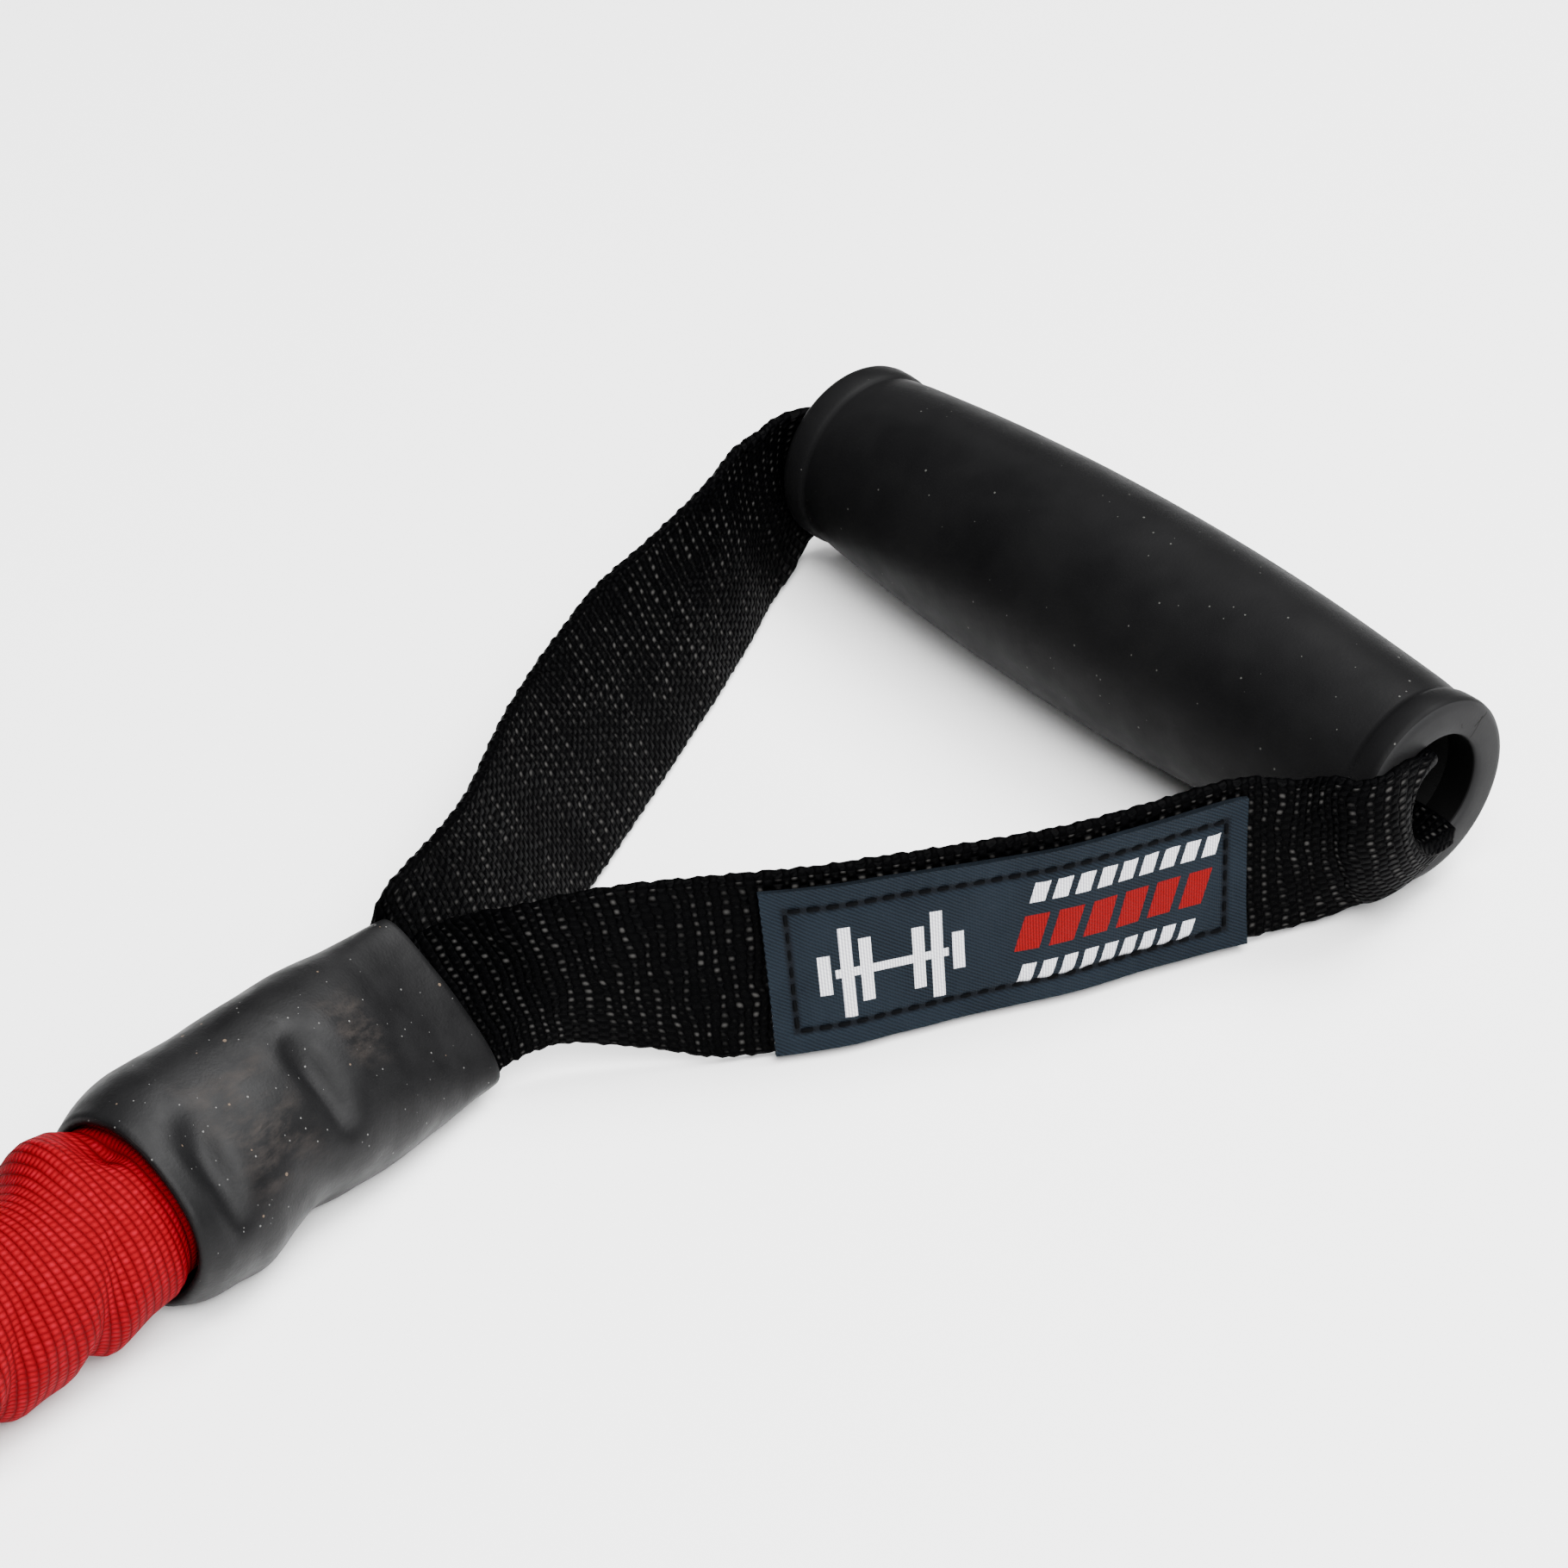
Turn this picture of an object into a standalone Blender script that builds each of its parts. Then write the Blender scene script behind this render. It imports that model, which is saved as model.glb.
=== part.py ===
"""A sleeved resistance tube with two webbing-loop handles, laid flat in one fold.

Each handle is drawn in its own frame: X along the grip, Y away from the tube, Z up from the
surface that the band lies on, with the middle of the grip at X = Y = 0. Both handles are the same,
and an empty places each of them. All sizes are in metres, except where MM turns millimetres into
metres.
"""

import math

import bmesh
import bpy
from mathutils import Matrix, Vector

MM = 0.001
GAP = 0.3 * MM  # the clearance between pieces that lie against each other

# Grip: a rubber moulding turned about X, with a rigid liner trapped inside it.
GRIP_LENGTH = 130 * MM
BELLY_RADIUS = 18.45 * MM
NECK_RADIUS = 14.36 * MM
FLANGE_RADIUS = 15.4 * MM
FLANGE_WIDTH = 5.7 * MM
RIM = 1.2 * MM
BORE_RADIUS = 9.63 * MM
LINER_WALL = 1.6 * MM
LINER_INSET = 6.0 * MM
GRIP_SIDES = 32
AXIS_HEIGHT = BELLY_RADIUS  # the belly rests on the surface

# Webbing: one flat strap through the grip, with both ends in the rubber sleeve.
WEBBING_WIDTH = 29 * MM
WEBBING_THICKNESS = 2.0 * MM
TUCKED_WIDTH = 22 * MM  # where its edges are tucked in to enter the sleeve
LOWEST_EDGE = 0.5 * MM  # the strap's middle surface stays this far above the surface

# Rubber sleeve: a stretched tube over the joint between webbing and band.
SLEEVE_MOUTH = Vector((1.8, -136.4, 10.9)) * MM
SLEEVE_END = Vector((13.3, -195.7, 14.2)) * MM
SLEEVE_WALL = 1.8 * MM
SLEEVE_SIDES = 24
# Along the sleeve from the webbing's mouth: place, width, height, squareness, and how far the
# flattened section leans back, in millimetres and degrees. It hugs the two ties inside it.
SLEEVE_SECTIONS = (
    (0.0, 28.2, 10.0, 4.0, 41.0),
    (8.0, 28.6, 12.5, 3.4, 41.0),
    (15.0, 29.2, 18.0, 2.9, 40.0),
    (21.0, 29.8, 22.2, 2.7, 39.0),
    (24.5, 29.2, 21.8, 2.5, 38.0),
    (29.0, 30.8, 24.2, 2.5, 37.0),
    (37.0, 31.4, 24.8, 2.4, 35.0),
    (43.5, 31.6, 25.0, 2.4, 33.0),
    (47.0, 30.6, 24.0, 2.3, 32.0),
    (51.0, 31.4, 25.2, 2.3, 31.0),
    (60.5, 29.0, 25.0, 2.2, 30.0),
)
HINGE_OUT = 3 * MM  # the webbing flexes this far outside the sleeve

# Inside the sleeve.
TAIL_WIDTH = 21.4 * MM
# Along the sleeve: place, how far out the tail's middle lies, and how it curls (one over radius).
TAIL_PATH = (
    (-0.2, 1.15, 0.0),
    (8.0, 1.5, 0.0),
    (13.0, 3.2, 0.035),
    (18.0, 5.0, 0.062),
    (22.0, 5.6, 0.07),
    (26.5, 5.8, 0.075),
    (29.0, 7.7, 0.128),
    (32.0, 7.8, 0.129),
    (36.0, 7.5, 0.1333),
    (52.0, 7.5, 0.1333),
)
TIE_THICKNESS = 0.8 * MM
FRONT_TIE = (22.7, 26.3, 11.6, 7.4)  # first and last place, inner half width and half height
REAR_TIE = (45.0, 49.0, 8.95, 8.95)
PLUG_HEAD_RADIUS = 6.3 * MM
PLUG_SHANK_RADIUS = 2.65 * MM
PLUG_PROFILE = ((27.8, 0.45), (28.4, 0.8), (29.6, 1.0), (31.0, 1.0))  # place, share of the radius
PLUG_END = 45.0

# Band: latex tubing in a gathered woven cover, cut to the same length.
COVER_RADIUS = 15 * MM
COVER_BORE = 6.8 * MM
COVER_HEIGHT = 15.1 * MM  # the middle of the cover above the surface
LATEX_RADIUS = 6.0 * MM
LATEX_BORE = 3.1 * MM
LATEX_START = 31.4  # along the sleeve, in millimetres
COVER_END_SECTIONS = ((53.0, 10.6, 9.2), (56.0, 12.2, 10.2), (59.3, 12.2, 10.2))
COVER_END_BORE = 7.1 * MM
STEP = 22 * MM  # between the points of the band's tubes

# Lay: the second handle is level with the first, this far to the side and further down.
HANDLE_PITCH = Vector((-132, -208, 0)) * MM
HANDLE_BOX_MIDDLE = Vector((0, -90, 0)) * MM
PLACES = {
    "a": -HANDLE_BOX_MIDDLE - HANDLE_PITCH / 2,
    "b": -HANDLE_BOX_MIDDLE + HANDLE_PITCH / 2,
}

# The label on the near strap: stations of the strap, and heights across it.
LABEL_STATIONS = (4.5, 9.17)
LABEL_HEIGHTS = (-14.1 * MM, 12.2 * MM)
LABEL_THICKNESS = 0.6 * MM
SEAM_INSET = 3.2 * MM
THREAD_RADIUS = 0.3 * MM


# ---------------------------------------------------------------- making objects


def material(name, color, roughness, metallic=0.0):
    made = bpy.data.materials.new(name)
    made.use_nodes = True
    shader = made.node_tree.nodes["Principled BSDF"]
    shader.inputs["Base Color"].default_value = (*color, 1.0)
    shader.inputs["Roughness"].default_value = roughness
    shader.inputs["Metallic"].default_value = metallic
    return made


def place(shape, finish, parent, pivot):
    """Puts an object that was drawn in its parent's frame there, with its origin at the pivot."""
    if shape.type == "MESH":
        shape.data.transform(Matrix.Translation(-pivot))
        shape.data.shade_smooth()
        shape.data.set_sharp_from_angle(angle=math.radians(40))
    shape.data.materials.append(finish)
    shape.parent = parent
    shape.location = pivot
    return shape


def mesh_object(name, points, faces, finish, parent, pivot):
    mesh = bpy.data.meshes.new(name)
    mesh.from_pydata([tuple(p) for p in points], [], faces)
    shape = bpy.data.objects.new(name, mesh)
    bpy.context.scene.collection.objects.link(shape)
    return place(shape, finish, parent, pivot)


def curve_object(name, points, radius, finish, parent, resolution, cyclic=False, caps=True):
    curve = bpy.data.curves.new(name, "CURVE")
    curve.dimensions = "3D"
    spline = curve.splines.new("POLY")
    spline.points.add(len(points) - 1)
    for target, point in zip(spline.points, points):
        target.co = (*point, 1.0)
    spline.use_cyclic_u = cyclic
    curve.bevel_depth = radius
    curve.bevel_resolution = resolution
    curve.use_fill_caps = caps and not cyclic
    shape = bpy.data.objects.new(name, curve)
    bpy.context.scene.collection.objects.link(shape)
    return place(shape, finish, parent, Vector())


def thicken(shape, thickness, offset):
    solid = shape.modifiers.new("wall", "SOLIDIFY")
    solid.thickness = thickness
    solid.offset = offset
    return shape


def grid_faces(rows, columns):
    """Quads between the points of a grid, row by row."""
    return [
        (i * columns + j, i * columns + j + 1, (i + 1) * columns + j + 1, (i + 1) * columns + j)
        for i in range(rows - 1)
        for j in range(columns - 1)
    ]


def ring_loft(name, loops, finish, parent, pivot):
    """A closed skin through loops of points, the last of which meets the first."""
    sides = len(loops[0])
    points = [p for loop in loops for p in loop]
    faces = []
    for i in range(len(loops)):
        after = (i + 1) % len(loops)
        for j in range(sides):
            beside = (j + 1) % sides
            faces.append((i * sides + j, i * sides + beside, after * sides + beside, after * sides + j))
    shape = mesh_object(name, points, faces, finish, parent, pivot)
    face_outwards(shape)
    return shape


def face_outwards(shape):
    skin = bmesh.new()
    skin.from_mesh(shape.data)
    bmesh.ops.recalc_face_normals(skin, faces=skin.faces)
    skin.to_mesh(shape.data)
    skin.free()


def turned(name, profile, centre, axis, sides, finish, parent, pivot):
    """A closed ring turned about an axis, from its profile's (place along the axis, radius)."""
    across = axis.orthogonal().normalized()
    beside = axis.cross(across)
    loops = []
    for along, radius in profile:
        loops.append(
            [
                centre
                + axis * along
                + (across * math.cos(turn) + beside * math.sin(turn)) * radius
                for turn in (math.tau * k / sides for k in range(sides))
            ]
        )
    return ring_loft(name, loops, finish, parent, pivot)


# ---------------------------------------------------------------- smooth curves


def between(values, place):
    """The value at a place along a list, on a smooth curve through its entries."""
    last = len(values) - 1
    i = min(max(int(place), 0), last - 1)
    t = place - i
    before, start, end, after = (values[min(max(k, 0), last)] for k in (i - 1, i, i + 1, i + 2))
    return 0.5 * (
        2 * start
        + (end - before) * t
        + (2 * before - 5 * start + 4 * end - after) * t**2
        + (3 * start - before - 3 * end + after) * t**3
    )


def at_even_steps(points, step):
    """Points along a smooth curve through the given ones, about a step apart."""
    fine = [between(points, i / 40) for i in range(40 * (len(points) - 1) + 1)]
    lengths = [0.0]
    for start, end in zip(fine, fine[1:]):
        lengths.append(lengths[-1] + (end - start).length)
    count = round(lengths[-1] / step)
    found, i = [], 0
    for k in range(count + 1):
        wanted = lengths[-1] * k / count
        while i < len(fine) - 2 and lengths[i + 1] < wanted:
            i += 1
        share = (wanted - lengths[i]) / (lengths[i + 1] - lengths[i])
        found.append(fine[i].lerp(fine[i + 1], share))
    return found


# ---------------------------------------------------------------- the sleeve's frame

ALONG = (SLEEVE_END - SLEEVE_MOUTH).normalized()
SLEEVE_LENGTH = (SLEEVE_END - SLEEVE_MOUTH).length
LEVEL = ALONG.cross(Vector((0, 0, 1))).normalized()  # level, across the sleeve
UPRIGHT = LEVEL.cross(ALONG)
MOUTH_LEAN = math.radians(SLEEVE_SECTIONS[0][4])
ACROSS = LEVEL * math.cos(MOUTH_LEAN) + UPRIGHT * math.sin(MOUTH_LEAN)  # the mouth's long way
HINGE = SLEEVE_MOUTH - ALONG * HINGE_OUT


def lean_at(along):
    """How far the sleeve's flattened section leans back, in radians."""
    lean = SLEEVE_SECTIONS[0][4]
    for start, end in zip(SLEEVE_SECTIONS, SLEEVE_SECTIONS[1:]):
        share = min(max((along / MM - start[0]) / (end[0] - start[0]), 0.0), 1.0)
        lean += (end[4] - start[4]) * share
    return math.radians(lean)


def in_sleeve(along, across=0.0, out=0.0):
    """The point that many metres along the sleeve, across it and out of its upper face."""
    lean = lean_at(along)
    level = across * math.cos(lean) - out * math.sin(lean)
    upright = across * math.sin(lean) + out * math.cos(lean)
    return SLEEVE_MOUTH + ALONG * along + LEVEL * level + UPRIGHT * upright


def squared_loop(along, half_width, half_height, squareness, lowest=0.0, sides=SLEEVE_SIDES):
    """A rounded, squared loop of points round the sleeve's axis, flat where it would sink."""
    loop = []
    for k in range(sides):
        turn = math.tau * k / sides
        x, y = math.cos(turn), math.sin(turn)
        reach = (abs(x) ** squareness + abs(y) ** squareness) ** (-1 / squareness)
        point = in_sleeve(along, half_width * reach * x, half_height * reach * y)
        point.z = max(point.z, lowest)
        loop.append(point)
    return loop


def make_rubber_sleeve(name, finish, parent):
    outer, inner = [], []
    for along, width, height, squareness, _lean in SLEEVE_SECTIONS:
        half_width, half_height = width * MM / 2, height * MM / 2
        outer.append(squared_loop(along * MM, half_width, half_height, squareness))
        half_width, half_height = half_width - SLEEVE_WALL, half_height - SLEEVE_WALL
        inner.append(squared_loop(along * MM, half_width, half_height, squareness, SLEEVE_WALL))
    return ring_loft(name, outer + inner[::-1], finish, parent, SLEEVE_MOUTH)


def make_tail(name, side, finish, parent):
    """One tail of the webbing inside the sleeve. side is 1 for the upper layer, -1 for the lower."""
    points, columns = [], 9
    for along, out, curl in TAIL_PATH:
        for across in evenly(-TAIL_WIDTH / 2 / MM, TAIL_WIDTH / 2 / MM, columns):
            sunk = 0.0
            if curl:
                across, sunk = math.sin(across * curl) / curl, (1 - math.cos(across * curl)) / curl
            points.append(in_sleeve(along * MM, across * MM, side * (out - sunk) * MM))
    shape = mesh_object(
        name, points, grid_faces(len(TAIL_PATH), columns), finish, parent, SLEEVE_MOUTH
    )
    return thicken(shape, WEBBING_THICKNESS, 0.0)


def make_tie(name, sizes, finish, parent):
    """A flat tie round the two tails of the webbing."""
    first, last, half_width, half_height = (size * MM for size in sizes)
    loops = []
    for along, more in ((first, 0), (first, TIE_THICKNESS), (last, TIE_THICKNESS), (last, 0)):
        loops.append(squared_loop(along, half_width + more, half_height + more, 2.0))
    return ring_loft(name, loops, finish, parent, SLEEVE_MOUTH)


def make_plug(name, finish, parent):
    """A mushroom plug: its shank fills the end of the latex tube, and its head stops it."""
    profile = [(along * MM, share * PLUG_HEAD_RADIUS) for along, share in PLUG_PROFILE]
    profile.append((PLUG_PROFILE[-1][0] * MM, PLUG_SHANK_RADIUS))
    profile.append((PLUG_END * MM, PLUG_SHANK_RADIUS))
    sides = 12
    points, faces = [], []
    for along, radius in profile:
        for k in range(sides):
            turn = math.tau * k / sides
            points.append(in_sleeve(along, radius * math.cos(turn), radius * math.sin(turn)))
    for i in range(len(profile) - 1):
        for j in range(sides):
            beside = (j + 1) % sides
            after = i + 1
            faces.append((i * sides + j, i * sides + beside, after * sides + beside, after * sides + j))
    faces.append(tuple(range(sides)))
    faces.append(tuple(range((len(profile) - 1) * sides, len(profile) * sides)))
    shape = mesh_object(name, points, faces, finish, parent, in_sleeve(PLUG_END * MM))
    face_outwards(shape)
    return shape


def make_cover_end(name, finish, parent):
    """The gathered end of the woven cover inside the sleeve, round the latex tube."""
    outer, inner = [], []
    for along, half_width, half_height in COVER_END_SECTIONS:
        outer.append(squared_loop(along * MM, half_width * MM, half_height * MM, 2.3))
        inner.append(squared_loop(along * MM, COVER_END_BORE, COVER_END_BORE, 2.0))
    return ring_loft(name, outer + inner[::-1], finish, parent, SLEEVE_END)


# ---------------------------------------------------------------- the grip


def bulge(x):
    """The rubber's radius at x between its flanges."""
    return NECK_RADIUS + (BELLY_RADIUS - NECK_RADIUS) * (1 - (2 * x / GRIP_LENGTH) ** 2)


def make_grip(name, finish, parent):
    half, neck = GRIP_LENGTH / 2, GRIP_LENGTH / 2 - FLANGE_WIDTH
    seat = BORE_RADIUS + LINER_WALL + GAP
    inset = half - LINER_INSET + GAP
    end = [
        (half, BORE_RADIUS + RIM / 2),
        (half, FLANGE_RADIUS - RIM),
        (half - RIM * 0.3, FLANGE_RADIUS - RIM * 0.3),
        (half - RIM, FLANGE_RADIUS),
        (neck + RIM / 2, FLANGE_RADIUS),
        (neck, bulge(neck) + RIM / 4),
        (neck - RIM, bulge(neck - RIM)),
    ]
    sides = 5
    belly = [(x, bulge(x)) for x in (neck * (1 - 2 * k / (sides + 1)) for k in range(1, sides + 1))]
    bore = [
        (-half + RIM / 2, BORE_RADIUS),
        (-inset, BORE_RADIUS),
        (-inset, seat),
        (inset, seat),
        (inset, BORE_RADIUS),
        (half - RIM / 2, BORE_RADIUS),
    ]
    profile = end + belly + [(-x, radius) for x, radius in reversed(end)] + bore
    axis_point = Vector((0, 0, AXIS_HEIGHT))
    return turned(
        name, profile, axis_point, Vector((1, 0, 0)), GRIP_SIDES, finish, parent, axis_point
    )


def make_grip_liner(name, finish, parent):
    half = GRIP_LENGTH / 2 - LINER_INSET
    outer = BORE_RADIUS + LINER_WALL
    profile = [(half, BORE_RADIUS), (half, outer), (-half, outer), (-half, BORE_RADIUS)]
    axis_point = Vector((0, 0, AXIS_HEIGHT))
    return turned(
        name, profile, axis_point, Vector((1, 0, 0)), GRIP_SIDES, finish, parent, axis_point
    )


# ---------------------------------------------------------------- the webbing loop


def leg_station(middle, across, width=WEBBING_WIDTH, curl=0.0, towards=(0, 0, 0)):
    """A cross-section of the strap: its middle, the way to its upper edge, and how it curls.

    curl is one over the radius of the section, and towards is where the section's centre lies."""
    up = Vector(across).normalized()
    side = Vector(towards)
    side = (side - up * side.dot(up)).normalized() if side.length else side
    return (*Vector(middle), *up, width, curl, *side)


def ring_station(x, radius, below, curl, lean=0.0):
    """A cross-section that curls round the grip's axis, its middle that far below level.

    Its edges lean back over the end of the grip."""
    out = Vector((0, -math.cos(below), -math.sin(below)))
    up = Vector((0, -math.sin(below), math.cos(below)))
    middle = Vector((x, 0, AXIS_HEIGHT)) + out * radius
    side = (-out - Vector((math.copysign(lean, x), 0, 0))).normalized()
    return (*middle, *up, WEBBING_WIDTH, curl, *side)


def turned_stations(rows):
    return [
        ring_station(x * MM, radius * MM, math.radians(below), *curled)
        for x, radius, below, *curled in rows
    ]


def strap_stations():
    """Cross-sections along the strap: the near leg, the bore, then back along the far leg."""
    near = [
        ((2.1, -133.2, 11.8), ACROSS, TUCKED_WIDTH),
        ((5.0, -129.6, 13.2), (-0.50, -0.1, 0.86), 22.5 * MM),
        ((9.0, -125.0, 14.6), (-0.32, -0.05, 0.95), 24 * MM),
        ((15.6, -115.9, 15.2), (-0.25, -0.02, 0.97), 27 * MM),
        ((23.6, -104.2, 14.8), (-0.20, 0.03, 0.98)),
        ((32.0, -90.1, 14.5), (-0.17, 0.04, 0.98)),
        ((38.7, -75.5, 14.5), (-0.13, 0.04, 0.99)),
        ((44.3, -61.5, 14.5), (-0.11, 0.03, 0.99)),
        ((49.0, -47.5, 14.5), (-0.10, 0.03, 0.99)),
        ((53.2, -31.5, 14.6), (-0.11, 0.05, 0.99)),
        ((56.6, -22.4, 14.7), (-0.08, 0.0, 1.0), WEBBING_WIDTH, 8, (0.3, 1, 0.1)),
        ((60.3, -18.3, 14.7), (0, -0.1, 1.0), WEBBING_WIDTH, 25, (0, 1, 0.2)),
    ]
    far = [
        ((-63.6, -21.9, 14.3), (-0.16, -0.14, 0.975), WEBBING_WIDTH, 12, (0.6, 0.6, 0.1)),
        ((-58.0, -31.2, 14.1), (-0.24, -0.15, 0.96)),
        ((-50.3, -46.4, 13.7), (-0.33, -0.22, 0.92)),
        ((-43.2, -61.2, 13.2), (-0.43, -0.25, 0.87)),
        ((-32.9, -80.0, 13.0), (-0.45, -0.26, 0.855)),
        ((-22.7, -96.6, 13.0), (-0.43, -0.22, 0.87)),
        ((-13.6, -110.4, 13.2), (-0.42, -0.15, 0.89)),
        ((-7.4, -120.4, 13.2), (-0.42, -0.05, 0.91)),
        ((-4.0, -127.2, 12.7), (-0.48, -0.07, 0.88), 27.5 * MM),
        ((-1.4, -131.0, 11.2), (-0.60, -0.09, 0.79), 25 * MM),
        ((0.6, -133.5, 10.0), ACROSS, TUCKED_WIDTH),
    ]
    # Round each end of the grip: x, the strap's distance from the grip's axis, how far below level
    # it lies, how it curls, and how its edges lean back.
    near_turn = [
        (64.6, 17.0, 13, 36, 0.1),
        (67.4, 15.3, 15, 46, 0.25),
        (69.0, 12.6, 17, 56, 0.35),
        (69.2, 10.2, 19, 70, 0.35),
        (68.3, 8.6, 20, 95, 0.2),
        (65.8, 7.9, 21, 122, 0.0),
    ]
    bore = [(45, 8.05, 22, 124), (15, 8.05, 23, 124), (-15, 8.05, 24, 124), (-45, 8.05, 25, 124)]
    far_turn = [
        (-65.8, 7.9, 25, 122, 0.0),
        (-68.3, 8.5, 24, 95, 0.2),
        (-69.2, 10.2, 22, 70, 0.35),
        (-69.0, 12.9, 20, 50, 0.35),
        (-67.2, 16.2, 17, 34, 0.15),
    ]
    stations = [leg_station(Vector(row[0]) * MM, *row[1:]) for row in near]
    stations += turned_stations(near_turn + bore + far_turn)
    stations += [leg_station(Vector(row[0]) * MM, *row[1:]) for row in far]
    return stations


STATIONS = strap_stations()


def strap_point(place, height):
    """The point of the strap's middle surface at a station place and a height across it."""
    row = [between([station[k] for station in STATIONS], place) for k in range(11)]
    middle, up, side = Vector(row[:3]), Vector(row[3:6]).normalized(), Vector(row[8:])
    width, curl = row[6:8]
    height *= width / WEBBING_WIDTH
    if curl < 1:
        point = middle + up * height
    else:
        side = (side - up * side.dot(up)).normalized()
        sunk = (1 - math.cos(height * curl)) / curl
        point = middle + up * math.sin(height * curl) / curl + side * sunk
    point.z = max(point.z, LOWEST_EDGE)
    return point


def strap_patch(places, heights, out=0.0):
    """A grid of points on the strap, moved out from its outer face by that much."""
    points = []
    for place in places:
        for height in heights:
            point = strap_point(place, height)
            if out:
                along = strap_point(place + 0.05, height) - strap_point(place - 0.05, height)
                upwards = strap_point(place, height + MM) - strap_point(place, height - MM)
                point = point + along.cross(upwards).normalized() * out
            points.append(point)
    return points


def evenly(first, last, count):
    return [first + (last - first) * k / (count - 1) for k in range(count)]


def make_webbing_loop(name, finish, parent):
    places = [k / 2 for k in range(2 * (len(STATIONS) - 1) + 1)]
    heights = evenly(-WEBBING_WIDTH / 2, WEBBING_WIDTH / 2, 7)
    points = strap_patch(places, heights)
    shape = mesh_object(name, points, grid_faces(len(places), 7), finish, parent, HINGE)
    return thicken(shape, WEBBING_THICKNESS, 0.0)


def make_label(name, finish, parent):
    lift = WEBBING_THICKNESS / 2 + GAP + LABEL_THICKNESS / 2
    points = strap_patch(evenly(*LABEL_STATIONS, 10), evenly(*LABEL_HEIGHTS, 3), lift)
    shape = mesh_object(name, points, grid_faces(10, 3), finish, parent, HINGE)
    return thicken(shape, LABEL_THICKNESS, 0.0)


def make_label_thread(name, finish, parent):
    """The label's seam, as one closed line of thread on its face."""
    lift = WEBBING_THICKNESS / 2 + 2 * GAP + LABEL_THICKNESS + THREAD_RADIUS
    ends = (LABEL_STATIONS[0] + 0.22, LABEL_STATIONS[1] - 0.22)
    low, high = LABEL_HEIGHTS[0] + SEAM_INSET, LABEL_HEIGHTS[1] - SEAM_INSET
    path = strap_patch(evenly(*ends, 12), [low], lift)
    path += strap_patch([ends[1]], evenly(low, high, 4)[1:], lift)
    path += strap_patch(evenly(*ends, 12)[::-1][1:], [high], lift)
    path += strap_patch([ends[0]], evenly(high, low, 4)[1:-1], lift)
    return curve_object(name, path, THREAD_RADIUS, finish, parent, 0, cyclic=True)


# ---------------------------------------------------------------- the band


def band_route():
    """Points of the band's middle: inside the first sleeve, along the surface, inside the second."""
    start, end = PLACES["a"], PLACES["b"]
    inside = [along * MM for along in (LATEX_START, 37, 43, 49, 55)]
    ends = [in_sleeve(SLEEVE_LENGTH + 1.2 * MM), in_sleeve(SLEEVE_LENGTH + 18 * MM)]
    bends = [(22.5, -262), (25, -330), (19, -400), (11, -470), (6, -540), (5, -600), (4.5, -655)]
    bends += [(-7.7, -692.6), (-39.7, -715.9), (-79.3, -715.9), (-111.3, -692.6), (-123.5, -655)]
    bends += [(-123.5, -605), (-120, -555), (-113, -505), (-109, -465)]
    loose = [start + point for point in ends]
    loose += [start + Vector((x, y, 0)) * MM for x, y in bends]
    loose += [end + point for point in reversed(ends)]
    for point in loose:
        point.z = COVER_HEIGHT
    free = at_even_steps(loose, STEP)
    first = [start + in_sleeve(along) for along in inside]
    last = [end + in_sleeve(along) for along in reversed(inside)]
    return first, free, last


def make_band(cover_finish, latex_finish):
    first, free, last = band_route()
    cover = curve_object("fabric_cover", free, COVER_RADIUS, cover_finish, None, 3, caps=False)
    thicken(cover, COVER_RADIUS - COVER_BORE, -1.0)
    whole = first + free + last
    latex = curve_object("latex_tube", whole, LATEX_RADIUS, latex_finish, None, 2, caps=False)
    thicken(latex, LATEX_RADIUS - LATEX_BORE, -1.0)


# ---------------------------------------------------------------- the whole object


def make_handle(letter, finishes):
    parent = bpy.data.objects.new("handle_" + letter, None)
    bpy.context.scene.collection.objects.link(parent)
    parent.location = PLACES[letter]
    make_grip("grip_" + letter, finishes["grip_rubber"], parent)
    make_grip_liner("grip_liner_" + letter, finishes["liner_plastic"], parent)
    make_webbing_loop("webbing_loop_" + letter, finishes["webbing"], parent)
    make_label("label_" + letter, finishes["label_cloth"], parent)
    make_label_thread("label_thread_" + letter, finishes["thread"], parent)
    make_tail("near_webbing_tail_" + letter, 1, finishes["webbing"], parent)
    make_tail("far_webbing_tail_" + letter, -1, finishes["webbing"], parent)
    make_tie("front_tie_" + letter, FRONT_TIE, finishes["tie_steel"], parent)
    make_tie("rear_tie_" + letter, REAR_TIE, finishes["tie_steel"], parent)
    make_plug("tube_plug_" + letter, finishes["liner_plastic"], parent)
    make_cover_end("cover_end_" + letter, finishes["cover_fabric"], parent)
    make_rubber_sleeve("rubber_sleeve_" + letter, finishes["sleeve_rubber"], parent)


def main():
    for thing in list(bpy.data.objects):
        bpy.data.objects.remove(thing)
    finishes = {
        "grip_rubber": material("grip_rubber", (0.012, 0.012, 0.012), 0.55),
        "liner_plastic": material("liner_plastic", (0.03, 0.03, 0.03), 0.45),
        "webbing": material("webbing", (0.006, 0.006, 0.006), 0.6),
        "label_cloth": material("label_cloth", (0.03, 0.045, 0.06), 0.8),
        "thread": material("thread", (0.004, 0.004, 0.006), 0.7),
        "tie_steel": material("tie_steel", (0.6, 0.6, 0.6), 0.3, 1.0),
        "sleeve_rubber": material("sleeve_rubber", (0.035, 0.035, 0.037), 0.6),
        "cover_fabric": material("cover_fabric", (0.6, 0.008, 0.02), 0.75),
        "latex": material("latex", (0.62, 0.5, 0.3), 0.5),
    }
    for letter in PLACES:
        make_handle(letter, finishes)
    make_band(finishes["cover_fabric"], finishes["latex"])


main()
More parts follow.
